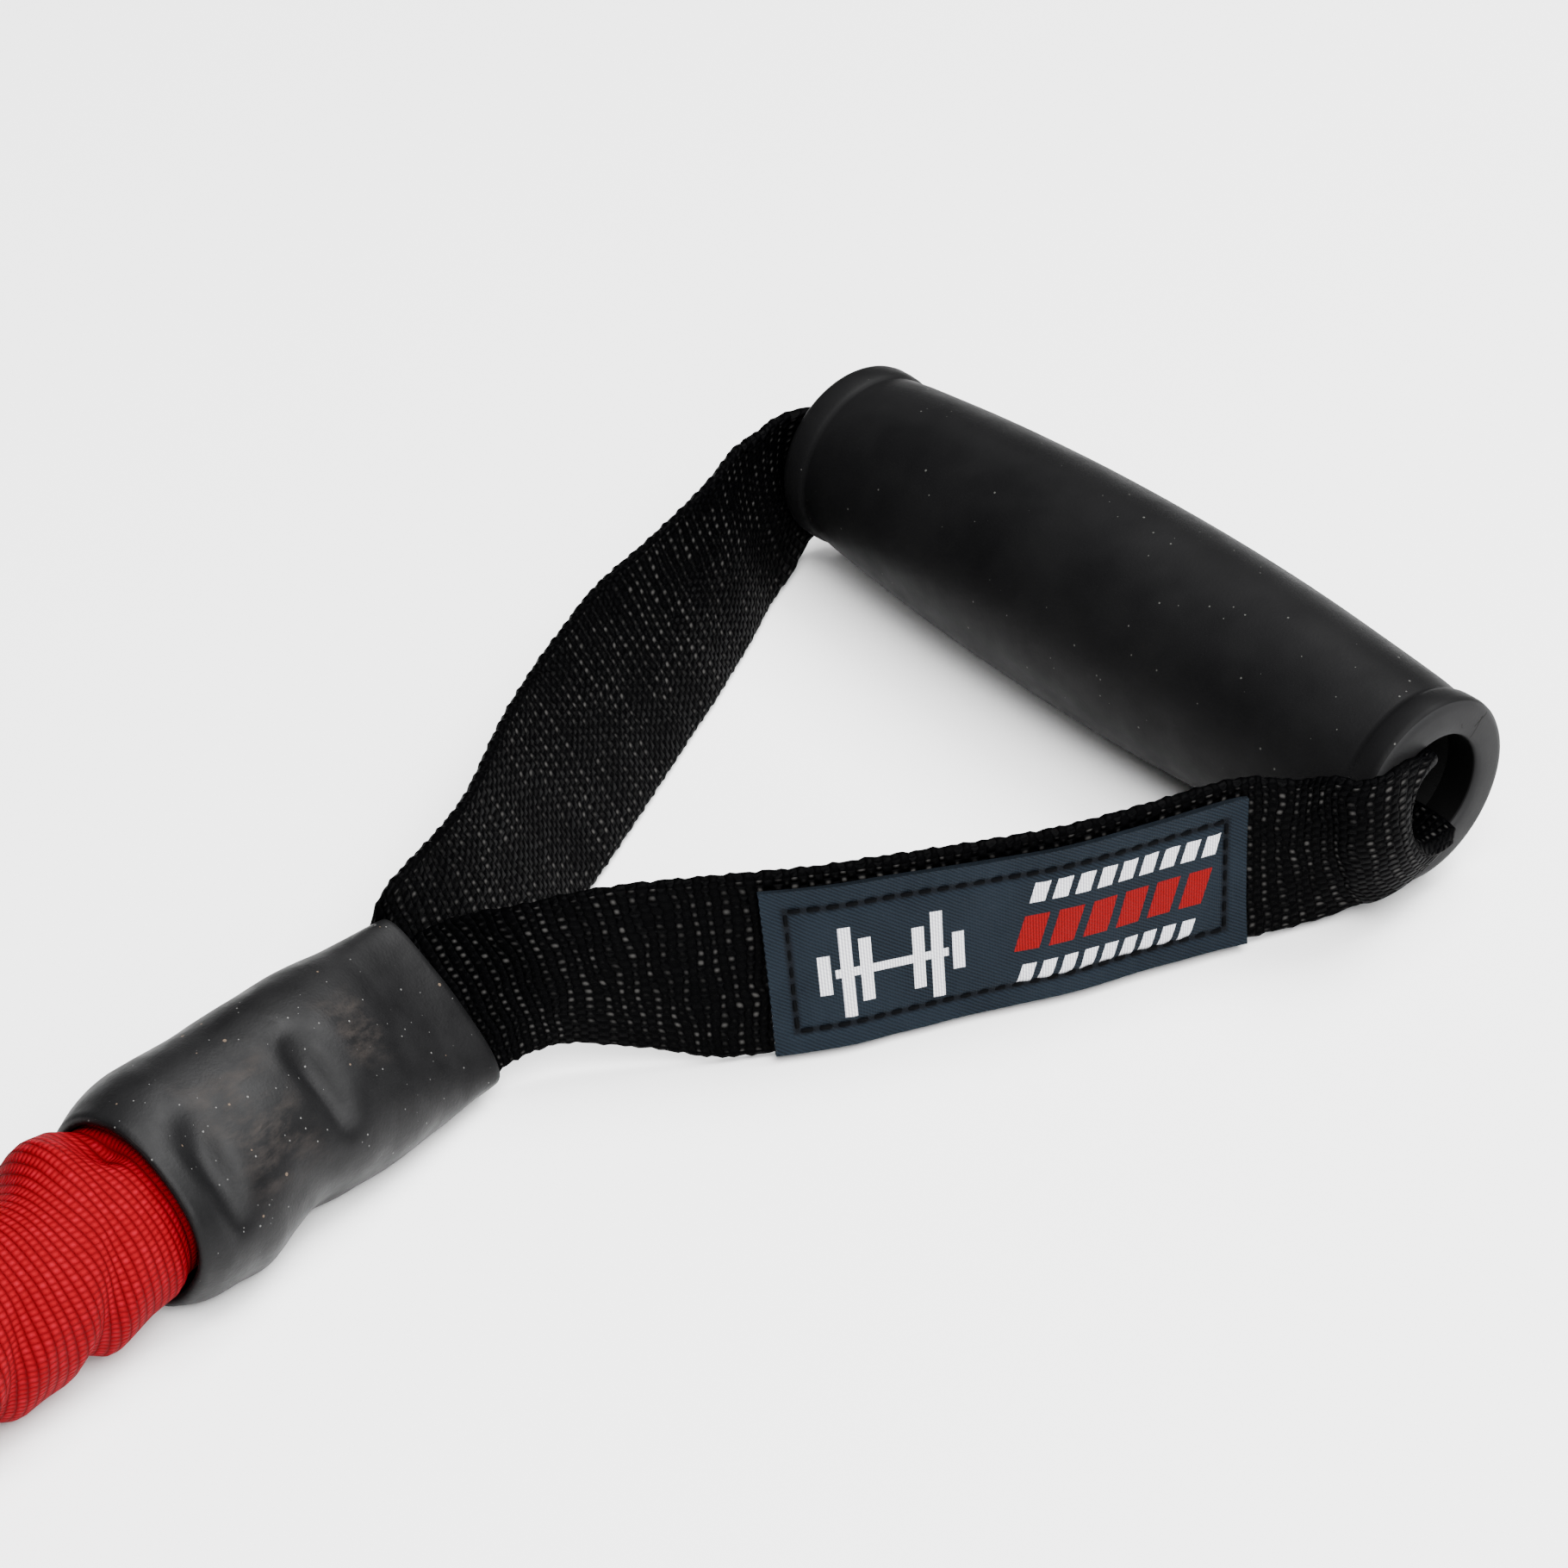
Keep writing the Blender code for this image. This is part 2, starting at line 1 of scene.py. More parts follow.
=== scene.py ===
"""The band as it looks: woven webbing, moulded rubber, a gathered red cover and a sewn label.

Each handle is drawn in its own frame, in millimetres: X along the grip, Y away from the tube, and Z
up from the surface, with the middle of the grip at X = Y = 0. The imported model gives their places.
"""

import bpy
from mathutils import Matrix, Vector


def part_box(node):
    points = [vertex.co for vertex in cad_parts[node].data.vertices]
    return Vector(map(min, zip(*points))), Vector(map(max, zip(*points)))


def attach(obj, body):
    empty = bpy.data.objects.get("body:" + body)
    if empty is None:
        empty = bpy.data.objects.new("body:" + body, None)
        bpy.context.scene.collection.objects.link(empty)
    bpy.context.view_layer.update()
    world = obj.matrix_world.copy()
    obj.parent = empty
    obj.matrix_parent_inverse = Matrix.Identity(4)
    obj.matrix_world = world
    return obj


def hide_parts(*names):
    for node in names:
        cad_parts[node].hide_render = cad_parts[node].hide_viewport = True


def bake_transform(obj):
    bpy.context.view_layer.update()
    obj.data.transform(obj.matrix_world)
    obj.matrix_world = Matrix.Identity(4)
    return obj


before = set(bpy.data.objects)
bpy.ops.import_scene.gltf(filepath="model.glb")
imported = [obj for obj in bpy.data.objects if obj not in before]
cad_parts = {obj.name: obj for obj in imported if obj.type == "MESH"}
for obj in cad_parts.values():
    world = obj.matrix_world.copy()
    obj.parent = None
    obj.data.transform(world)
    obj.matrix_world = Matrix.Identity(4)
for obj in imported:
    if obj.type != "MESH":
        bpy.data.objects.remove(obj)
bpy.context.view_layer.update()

import math
import random

import bmesh
import bpy
import numpy as np
from mathutils import Vector, noise

MM = 0.001
LETTERS = ("a", "b")

GRIP_HALF = 65.0
BELLY_RADIUS = 18.45
NECK_RADIUS = 14.36
FLANGE_RADIUS = 15.4
FLANGE_WIDTH = 5.7
BORE_RADIUS = 9.63
AXIS_HEIGHT = 18.45

WEBBING_WIDTH = 29.0
WEBBING_THICKNESS = 1.9
TAIL_WIDTH = 21.4  # inside the sleeve
RIB_PITCH = 2.4  # of the webbing, along it
YARN_PITCH = 1.5  # of the webbing, across it

SLEEVE_MOUTH = np.array((1.8, -136.4, 10.9))
SLEEVE_END = np.array((13.3, -195.7, 14.2))
SLEEVE_LENGTH = float(np.linalg.norm(SLEEVE_END - SLEEVE_MOUTH))
SLEEVE_WALL = 1.4
ON_FLOOR = 0.02  # the least height of a skin that rests on the floor

COVER_STEP = 1.5  # between the cover's rings of points
COVER_RIB = 1.42
COVER_DOT = 0.86
COVER_LEVEL = 12.7  # the height of the cover's middle where it lies free

LABEL_THICKNESS = 0.5
LABEL_LIFT = WEBBING_THICKNESS / 2 + 0.35 + LABEL_THICKNESS / 2
LABEL_HALF = 13.1
LABEL_MIDDLE = -1.1  # across the webbing
LABEL_ENDS = (-97.4, -28.6)  # how far from the grip its two ends lie
SEAM_INSET = 3.4
STITCH_PITCH = 2.7

FLOOR_SIZE = 16.0
FLOOR_DROP = 0.0004
DAYLIGHT = 0.10
# The camera's place, in metres from the first handle's frame, and the way it looks.
CAMERA_PLACE = (0.418205, -0.426689, 0.403194)
CAMERA_LOOKS = (-0.622783, 0.531355, -0.574285)
CAMERA_LENS = 104.37


def unit(vector):
    vector = np.asarray(vector, float)
    return vector / np.linalg.norm(vector, axis=-1, keepdims=True)


def middle_of(node):
    low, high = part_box(node)
    return (np.array(low) + np.array(high)) / 2 / MM


# The grip's middle lies at X = Y = 0 and Z = AXIS_HEIGHT in its handle's frame.
ORIGINS = {x: middle_of("grip_" + x) - np.array((0, 0, AXIS_HEIGHT)) for x in LETTERS}


# ---------------------------------------------------------------- meshes


def spline(values, places):
    """Values at places along a list, on a smooth curve through its entries."""
    values = np.asarray(values, float)
    places = np.atleast_1d(np.asarray(places, float))
    last = len(values) - 1
    i = np.clip(places.astype(int), 0, last - 1)
    t = (places - i)[:, None]
    p0, p1, p2, p3 = (values[np.clip(i + k, 0, last)] for k in (-1, 0, 1, 2))
    return 0.5 * (
        2 * p1
        + (p2 - p0) * t
        + (2 * p0 - 5 * p1 + 4 * p2 - p3) * t**2
        + (3 * p1 - p0 - 3 * p2 + p3) * t**3
    )


def smooth_table(rows, at):
    """Columns of a table read at places of its first column, on a smooth curve."""
    rows = np.asarray(rows, float)
    place = np.interp(at, rows[:, 0], np.arange(len(rows)))
    # The places are eased so that the curve's own spacing gives the asked first column.
    for _ in range(4):
        got = spline(rows[:, :1], place)[:, 0]
        slope = np.gradient(rows[:, 0])[np.clip(np.round(place).astype(int), 0, len(rows) - 1)]
        place = np.clip(place + (np.asarray(at) - got) / slope, 0, len(rows) - 1)
    return spline(rows[:, 1:], place)


def make_mesh(name, points, faces, uvs, letter, finish, sharp=None):
    """A mesh from points in a handle's frame, or in the row frame's millimetres without a letter."""
    points = np.asarray(points, float).reshape(-1, 3)
    if letter:
        points = points + ORIGINS[letter]
    mesh = bpy.data.meshes.new(name)
    mesh.from_pydata((points * MM).tolist(), [], [tuple(int(i) for i in f) for f in faces])
    layer = mesh.uv_layers.new(name="UVMap")
    corner = np.empty(len(mesh.loops), np.int32)
    mesh.loops.foreach_get("vertex_index", corner)
    layer.data.foreach_set("uv", np.asarray(uvs, np.float32).reshape(-1, 2)[corner].ravel())
    shape = bpy.data.objects.new(name, mesh)
    bpy.context.scene.collection.objects.link(shape)
    mesh.shade_smooth()
    if sharp:
        mesh.set_sharp_from_angle(angle=math.radians(sharp))
    mesh.materials.append(finish)
    return shape


def tube_faces(rows, sides, capped=False, closed=False):
    """Faces between rings of points; closed joins the last ring to the first."""
    faces = []
    for i in range(rows if closed else rows - 1):
        after = (i + 1) % rows
        for j in range(sides):
            beside = (j + 1) % sides
            faces.append((i * sides + j, i * sides + beside, after * sides + beside, after * sides + j))
    if capped:
        faces.append(tuple(range(sides))[::-1])
        faces.append(tuple(range((rows - 1) * sides, rows * sides)))
    return faces


def outwards(shape):
    """Turns a closed mesh's faces outwards."""
    skin = bmesh.new()
    skin.from_mesh(shape.data)
    bmesh.ops.recalc_face_normals(skin, faces=skin.faces)
    skin.to_mesh(shape.data)
    skin.free()
    return shape


def ripple(points, size, seed):
    """Smooth noise from -1 to 1 at points, its bumps about that many units across."""
    return np.array([noise.noise(Vector(p) / size + Vector((seed, 3.1 * seed, -seed))) for p in points])


# ---------------------------------------------------------------- materials

# Colours, as shares of the light given back. A pair is what a surface varies between.
GRIP_SKIN = (0.0024, 0.0024, 0.0026), (0.0042, 0.0042, 0.0044)
GRIP_END_LIT = (0.018, 0.018, 0.0185)
GRIP_BORE = (0.0006, 0.0006, 0.0006)
GRIP_CUT_SHADE = (0.001, 0.001, 0.001)
GRIP_DUST = (0.045, 0.045, 0.042)
SLEEVE_SKIN = (0.0022, 0.0022, 0.0024), (0.0046, 0.0046, 0.0049)
SLEEVE_SCUFF = (0.036, 0.029, 0.025)
SLEEVE_SCRATCH = (0.002, 0.002, 0.002)
SLEEVE_DUST = (0.09, 0.09, 0.087)
SLEEVE_GRIT = (0.07, 0.05, 0.035)
WEBBING_YARN_AND_SHINE = (0.0003, 0.0003, 0.0004), (0.028, 0.027, 0.026)
COVER_YARN_AND_SHADE = (0.056, 0.0, 0.0010), (0.165, 0.0, 0.0036)
COVER_GLINT = (0.34, 0.0, 0.025)
LABEL_TWILL = (0.0012, 0.0024, 0.0042), (0.0052, 0.0092, 0.0142)
LABEL_WORN = (0.0068, 0.0112, 0.0166)
LABEL_SEAM_SHADE = (0.0012, 0.0018, 0.003)
LABEL_WHITE = (0.30, 0.30, 0.34), (0.66, 0.66, 0.67)
LABEL_RED = (0.075, 0.0, 0.0005), (0.165, 0.0, 0.0012)
THREAD = (0.0009, 0.0011, 0.0015)
LINER_PLASTIC = (0.004, 0.004, 0.004)
PLUG_PLASTIC = (0.03, 0.03, 0.03)
STEEL = (0.6, 0.6, 0.6)
LATEX = (0.62, 0.5, 0.3)
FLOOR_COLOR = (0.93, 0.93, 0.93)


class Finish:
    """A node material, built by short calls."""

    def __init__(self, name):
        self.material = bpy.data.materials.new(name)
        self.material.use_nodes = True
        self.tree = self.material.node_tree
        self.shader = self.tree.nodes["Principled BSDF"]
        self.coordinates = self.tree.nodes.new("ShaderNodeTexCoord")

    def put(self, socket, value):
        if isinstance(value, bpy.types.NodeSocket):
            self.tree.links.new(value, socket)
        elif isinstance(value, (tuple, list)) and len(value) == 3 and socket.type == "RGBA":
            socket.default_value = (*value, 1.0)
        else:
            socket.default_value = value

    def math(self, operation, *values):
        node = self.tree.nodes.new("ShaderNodeMath")
        node.operation = operation
        for socket, value in zip(node.inputs, values):
            self.put(socket, value)
        return node.outputs[0]

    def remap(self, value, low, high, to_low=0.0, to_high=1.0):
        node = self.tree.nodes.new("ShaderNodeMapRange")
        for name, given in (
            ("Value", value),
            ("From Min", low),
            ("From Max", high),
            ("To Min", to_low),
            ("To Max", to_high),
        ):
            self.put(node.inputs[name], given)
        return node.outputs[0]

    def between(self, value, low, high):
        """1 between the two limits and 0 outside them."""
        above, below = self.math("GREATER_THAN", value, low), self.math("LESS_THAN", value, high)
        return self.math("MULTIPLY", above, below)

    def wave(self, value, length):
        """A sine from -1 to 1 with that wavelength."""
        return self.math("SINE", self.math("MULTIPLY", value, math.tau / length))

    def arches(self, value, pitch):
        """A row of humps from 0 to 1, one in each pitch."""
        return self.math("ABSOLUTE", self.math("SINE", self.math("MULTIPLY", value, math.pi / pitch)))

    def wander(self, value, place, size, detail, reach):
        """The value moved up to that far either way by noise."""
        moved = self.remap(self.noise(place, size, detail), 0.2, 0.8, -reach, reach)
        return self.math("ADD", value, moved)

    def mix(self, share, first, second):
        node = self.tree.nodes.new("ShaderNodeMix")
        node.data_type = "RGBA"
        self.put(node.inputs[0], share)
        self.put(node.inputs[6], first)
        self.put(node.inputs[7], second)
        return node.outputs[2]

    def place(self):
        return self.coordinates.outputs["Object"]

    def noise(self, vector, size, detail=2.0, rough=0.5):
        """Noise whose bumps are about that many millimetres across, on object coordinates."""
        node = self.tree.nodes.new("ShaderNodeTexNoise")
        self.put(node.inputs["Vector"], vector)
        node.inputs["Scale"].default_value = 1000.0 / size
        node.inputs["Detail"].default_value = detail
        node.inputs["Roughness"].default_value = rough
        return node.outputs[0]

    def specks(self, vector, spacing, radius, share):
        """Small round specks, about that many millimetres apart; share is how many are kept."""
        node = self.tree.nodes.new("ShaderNodeTexVoronoi")
        self.put(node.inputs["Vector"], vector)
        node.inputs["Scale"].default_value = 1000.0 / spacing
        parts = self.tree.nodes.new("ShaderNodeSeparateColor")
        self.tree.links.new(node.outputs["Color"], parts.inputs[0])
        size = self.math("MULTIPLY", parts.outputs[1], radius / spacing)
        dot = self.math("LESS_THAN", node.outputs["Distance"], size)
        return self.math("MULTIPLY", dot, self.math("LESS_THAN", parts.outputs[0], share))

    def flat(self):
        """The mesh's own two coordinates, in millimetres."""
        parts = self.tree.nodes.new("ShaderNodeSeparateXYZ")
        self.tree.links.new(self.coordinates.outputs["UV"], parts.inputs[0])
        return parts.outputs[0], parts.outputs[1]

    def joined(self, x, y):
        node = self.tree.nodes.new("ShaderNodeCombineXYZ")
        for socket, value in zip(node.inputs, (x, y)):
            self.put(socket, value)
        return node.outputs[0]

    def random_at(self, x, y):
        node = self.tree.nodes.new("ShaderNodeTexWhiteNoise")
        node.noise_dimensions = "3D"
        self.put(node.inputs["Vector"], self.joined(x, y))
        return node.outputs[0]

    def bump(self, height, millimetres, onto=None):
        node = self.tree.nodes.new("ShaderNodeBump")
        node.inputs["Distance"].default_value = millimetres * MM
        self.put(node.inputs["Height"], height)
        if onto is not None:
            self.put(node.inputs["Normal"], onto)
        return node.outputs[0]

    def finish(self, color, roughness, normal=None, specular=0.5, metallic=0.0):
        self.put(self.shader.inputs["Base Color"], color)
        self.put(self.shader.inputs["Roughness"], roughness)
        self.put(self.shader.inputs["Specular IOR Level"], specular)
        self.put(self.shader.inputs["Metallic"], metallic)
        if normal is not None:
            self.put(self.shader.inputs["Normal"], normal)
        return self.material


def grip_rubber():
    """Dull moulded rubber with dust on it, and small cuts in its end face."""
    f = Finish("grip_rubber")
    p = f.place()
    u, v = f.flat()
    cloudy = f.noise(p, 14.0, 3.0)
    color = f.mix(f.remap(cloudy, 0.35, 0.7), *GRIP_SKIN)
    # The flat end face is painted paler than the skin: painted light where the lamps catch it.
    end = f.math("MULTIPLY", f.math("LESS_THAN", u, 6.0), 0.55)
    color = f.mix(end, color, GRIP_END_LIT)
    color = f.mix(f.specks(p, 1.8, 0.20, 0.55), color, GRIP_DUST)
    # No light reaches the bore, whose skin lies past the far end's.
    color = f.mix(f.remap(u, 148.0, 152.0), color, GRIP_BORE)
    # Small cuts in the end face, with painted shade in them: they are coloured darker than the rubber.
    cuts = 0.0
    for u0, u1, v0, slope in ((0.6, 4.4, 12.4, 0.16), (2.4, 5.4, 13.6, -0.5), (1.6, 2.3, 17.6, 0.9)):
        line = f.math("ADD", f.math("MULTIPLY", f.math("SUBTRACT", u, u0), slope), v0)
        thin = f.math("LESS_THAN", f.math("ABSOLUTE", f.math("SUBTRACT", v, line)), 0.16)
        cuts = f.math("MAXIMUM", f.math("MULTIPLY", thin, f.between(u, u0, u1)), cuts)
    color = f.mix(cuts, color, GRIP_CUT_SHADE)
    rough = f.remap(f.noise(p, 5.0, 4.0), 0.3, 0.7, 0.50, 0.60)
    grain = f.bump(f.math("SUBTRACT", f.noise(p, 0.5, 2.0), f.math("MULTIPLY", cuts, 6.0)), 0.02)
    soft = f.bump(f.noise(p, 11.0, 2.0), 0.12, grain)
    return f.finish(color, rough, soft, specular=0.05)


def sleeve_rubber():
    """Dull rubber with dust and brown specks on it, and scuffs on its upper face."""
    f = Finish("sleeve_rubber")
    p = f.place()
    u, v = f.flat()
    cloudy = f.noise(p, 16.0, 3.0)
    color = f.mix(f.remap(cloudy, 0.3, 0.72), *SLEEVE_SKIN)

    def nearness(value, middle, reach):
        off = f.math("ABSOLUTE", f.math("DIVIDE", f.math("SUBTRACT", value, middle), reach))
        return f.math("MAXIMUM", f.math("SUBTRACT", 1.0, off), 0.0)

    def drawn_out(stretch):
        return f.joined(f.math("MULTIPLY", u, stretch * MM), f.math("MULTIPLY", v, MM))

    # The scuffs are pale and brownish patches between the dents, with short dark marks.
    patches = 0.0
    for u0, v0, wide, high in ((43.5, 24.0, 8.5, 10.0), (21.0, 20.0, 5.0, 6.0)):
        inside = f.math("MINIMUM", nearness(u, u0, wide), nearness(v, v0, high))
        patches = f.math("MAXIMUM", inside, patches)
    grainy = f.noise(drawn_out(0.35), 3.2, 6.0, 0.7)
    worn = f.math("MULTIPLY", f.remap(grainy, 0.46, 0.66), f.remap(patches, 0.0, 0.55))
    color = f.mix(f.math("MULTIPLY", worn, 0.42), color, SLEEVE_SCUFF)
    scratch = f.remap(f.noise(drawn_out(0.16), 0.9, 1.0), 0.66, 0.70)
    scratch = f.math("MULTIPLY", scratch, f.remap(patches, 0.1, 0.5, 0.0, 0.6))
    color = f.mix(scratch, color, SLEEVE_SCRATCH)
    color = f.mix(f.specks(p, 1.15, 0.15, 0.6), color, SLEEVE_DUST)
    color = f.mix(f.specks(p, 2.9, 0.30, 0.4), color, SLEEVE_GRIT)
    rough = f.remap(f.noise(p, 4.0, 4.0), 0.3, 0.7, 0.46, 0.58)
    rough = f.math("ADD", rough, f.math("MULTIPLY", worn, 0.12))
    grain = f.bump(f.noise(p, 0.45, 3.0), 0.035)
    soft = f.bump(f.noise(p, 6.0, 3.0), 0.16, grain)
    return f.finish(color, rough, soft, specular=0.12)


def webbing():
    """Ribbed webbing: short floats of yarn in columns across it, each shifted from the last."""
    f = Finish("webbing")
    u, v = f.flat()
    p = f.place()
    u, v = f.wander(u, p, 6.0, 2.0, 0.7), f.wander(v, p, 7.0, 1.0, 0.3)
    column = f.math("DIVIDE", u, RIB_PITCH / 2)
    which = f.math("FLOOR", column)
    across = f.math("ADD", f.math("DIVIDE", v, YARN_PITCH), f.math("MULTIPLY", which, 0.5))
    row = f.math("FLOOR", across)
    chance = f.random_at(which, row)
    rise_u = f.math("SINE", f.math("MULTIPLY", f.math("FRACT", column), math.pi))
    rise_v = f.math("SINE", f.math("MULTIPLY", f.math("FRACT", across), math.pi))
    big = f.math("MODULO", f.math("ABSOLUTE", which), 2.0)
    rise = f.math("MULTIPLY", f.math("POWER", rise_u, 0.6), f.math("POWER", rise_v, 1.2))
    rise = f.math("MULTIPLY", rise, f.remap(big, 0.0, 1.0, 0.55, 1.0))
    height = f.math("MULTIPLY", rise, f.remap(chance, 0.0, 1.0, 0.75, 1.0))
    height = f.math("ADD", height, f.math("MULTIPLY", f.noise(p, 0.35, 2.0), 0.14))
    # Each float gets a painted highlight in its colour where the light catches the middle of it, but not on
    # the selvedges.
    shine = f.math("MULTIPLY", f.math("POWER", rise, 3.5), f.math("POWER", chance, 0.8))
    shine = f.math("MULTIPLY", shine, f.remap(f.noise(p, 8.0, 2.0), 0.38, 0.62, 0.12, 1.0))
    shine = f.math("MULTIPLY", shine, f.math("LESS_THAN", f.math("ABSOLUTE", v), WEBBING_WIDTH / 2 - 1.0))
    color = f.mix(f.remap(shine, 0.03, 0.6), *WEBBING_YARN_AND_SHINE)
    rough = f.remap(chance, 0.0, 1.0, 0.46, 0.66)
    return f.finish(color, rough, f.bump(height, 0.5), specular=0.012)


def cover_fabric():
    """Ribs round the tube, each a row of small dots."""
    f = Finish("cover_fabric")
    u, v = f.flat()
    p = f.place()
    u, v = f.wander(u, p, 22.0, 1.0, 1.1), f.wander(v, p, 14.0, 1.0, 0.35)
    ridge = f.math("POWER", f.arches(u, COVER_RIB), 0.8)
    dot = f.arches(v, COVER_DOT)
    bead = f.math("MULTIPLY", ridge, f.remap(f.math("POWER", dot, 1.1), 0.0, 1.0, 0.4, 1.0))
    cell_u = f.math("FLOOR", f.math("DIVIDE", u, COVER_RIB))
    cell_v = f.math("FLOOR", f.math("DIVIDE", v, COVER_DOT))
    chance = f.random_at(cell_u, cell_v)
    # Painted shade: the colour is darker in the valleys between the beads and lighter on their crests, with
    # a little random tone.
    shade = f.math("MULTIPLY", bead, f.remap(chance, 0.0, 1.0, 0.8, 1.0))
    color = f.mix(f.remap(shade, 0.0, 0.85), *COVER_YARN_AND_SHADE)
    # A painted highlight: some bead crests are coloured paler and pinker.
    glint = f.math("MULTIPLY", f.math("POWER", bead, 4.0), f.math("POWER", chance, 2.0))
    color = f.mix(f.math("MULTIPLY", glint, 0.25), color, COVER_GLINT)
    height = f.math("ADD", bead, f.math("MULTIPLY", f.noise(p, 0.4, 2.0), 0.12))
    return f.finish(color, 0.75, f.bump(height, 0.26), specular=0.03)


def label_cloth(length):
    """Fine twill with a plain woven motif: a bar with plates, and three rows of slanted blocks."""
    f = Finish("label_cloth")
    u, v = f.flat()
    p = f.place()
    twill = f.wave(f.math("ADD", u, f.math("MULTIPLY", v, 1.6)), 1.0)
    fine = f.wave(u, 0.42)
    ground = f.mix(f.remap(twill, -1.0, 1.0), *LABEL_TWILL)
    ground = f.mix(f.remap(f.noise(p, 10.0, 2.0), 0.35, 0.7, 0.0, 0.4), ground, LABEL_WORN)

    def block(u0, u1, v0, v1):
        return f.math("MULTIPLY", f.between(u, u0, u1), f.between(v, v0, v1))

    def row(u0, count, v0, v1, pitch, filled):
        lean = f.math("SUBTRACT", f.math("SUBTRACT", u, u0), f.math("MULTIPLY", v, 0.3))
        number = f.math("DIVIDE", lean, pitch)
        whole = f.math("MULTIPLY", f.between(number, 0.0, float(count)), f.between(v, v0, v1))
        return f.math("MULTIPLY", whole, f.math("LESS_THAN", f.math("FRACT", number), filled))

    # The bar, its plates, then the rows of blocks.
    white = block(9.5, 26.5, -1.9, -0.5)
    for middle, half in ((8.0, 3.2), (11.2, 7.4), (14.0, 5.2), (22.0, 5.2), (24.8, 7.4), (28.0, 3.2)):
        white = f.math("MAXIMUM", white, block(middle - 0.9, middle + 0.9, -1.2 - half, -1.2 + half))
    white = f.math("MAXIMUM", white, row(37.5, 9, 4.6, 8.0, 3.4, 0.68))
    white = f.math("MAXIMUM", white, row(39.5, 9, -9.4, -6.1, 3.2, 0.66))
    red = row(37.5, 6, -3.6, 2.4, 5.2, 0.72)
    thread = f.remap(fine, -1.0, 1.0)
    color = f.mix(white, ground, f.mix(thread, *LABEL_WHITE))
    color = f.mix(red, color, f.mix(thread, *LABEL_RED))
    # The cloth is painted darker along the seam: painted shade in the groove where the seam draws it in.
    off_u = f.math("ABSOLUTE", f.math("SUBTRACT", u, length / 2))
    off_u = f.math("SUBTRACT", off_u, length / 2 - SEAM_INSET)
    off_v = f.math("SUBTRACT", f.math("ABSOLUTE", v), LABEL_HALF - SEAM_INSET)
    off = f.math("ABSOLUTE", f.math("MAXIMUM", off_u, off_v))
    color = f.mix(f.remap(off, 0.25, 0.8, 0.9, 0.0), color, LABEL_SEAM_SHADE)
    raised = f.math("MAXIMUM", white, red)
    height = f.math("ADD", f.math("MULTIPLY", twill, 0.3), f.math("MULTIPLY", raised, 0.8))
    height = f.math("ADD", height, f.math("MULTIPLY", fine, 0.12))
    return f.finish(color, 0.7, f.bump(height, 0.12), specular=0.07)


def plain(name, color, roughness, grain=0.0, size=1.0, metallic=0.0, specular=0.5):
    """One colour, a little uneven, with a grain of that depth and size."""
    f = Finish(name)
    p = f.place()
    varied = f.mix(f.remap(f.noise(p, 6.0 * size, 2.0), 0.3, 0.7), tuple(0.8 * c for c in color), color)
    normal = f.bump(f.noise(p, size, 2.0), grain) if grain else None
    return f.finish(varied, roughness, normal, specular, metallic)


# ---------------------------------------------------------------- the sleeve's frame

ALONG = unit(SLEEVE_END - SLEEVE_MOUTH)
LEVEL = unit(np.cross(ALONG, (0, 0, 1)))
UPRIGHT = np.cross(LEVEL, ALONG)
# Along the sleeve: place, width, height, squareness and lean, then how far its middle shifts
# across, towards the far leg's side.
SLEEVE_TABLE = (
    (0.0, 28.2, 9.8, 4.2, 41.0, -0.2),
    (6.0, 28.8, 11.8, 3.8, 41.0, -0.1),
    (12.0, 29.7, 16.2, 3.0, 40.5, -0.1),
    (18.0, 30.5, 20.8, 2.7, 40.0, -0.1),
    (24.0, 30.8, 22.8, 2.6, 39.0, 0.15),
    (30.0, 30.6, 24.0, 2.6, 37.5, 0.3),
    (36.0, 29.8, 24.2, 2.5, 36.0, 0.45),
    (41.5, 31.0, 24.0, 2.4, 34.5, -0.1),
    (47.0, 33.0, 24.6, 2.3, 33.0, -0.8),
    (52.0, 32.8, 25.4, 2.3, 31.5, -0.7),
    (57.0, 31.4, 25.4, 2.25, 30.0, -1.0),
    (60.5, 28.8, 25.0, 2.2, 30.0, -1.0),
)
# Where the upper face sags or bulges over what it covers: how far out, the place and the reach
# along it, the slant, the place and the reach across it, and the power of its flanks there.
SLEEVE_RELIEF = (
    (-2.1, 31.5, 2.3, 0.0, -2.6, 7.0, 4),
    (-2.5, 53.0, 2.6, 0.12, -5.4, 8.0, 4),
    (-0.5, 16.0, 4.5, 0.0, -5.0, 6.0, 2),
    (1.0, 42.5, 5.0, 0.0, -3.5, 8.0, 2),
    (0.7, 25.0, 3.2, 0.0, 0.0, 8.0, 2),
)


def in_sleeve(along, across, out, lean):
    """Points that far along the sleeve, across it and out of its upper face, as it leans there."""
    along, across, out, lean = (np.asarray(x, float)[..., None] for x in (along, across, out, lean))
    level = across * np.cos(lean) - out * np.sin(lean)
    upright = across * np.sin(lean) + out * np.cos(lean)
    return SLEEVE_MOUTH + ALONG * along + LEVEL * level + UPRIGHT * upright


def lean_at(along):
    return np.radians(smooth_table(SLEEVE_TABLE, np.clip(along, 0, SLEEVE_LENGTH))[:, 3])


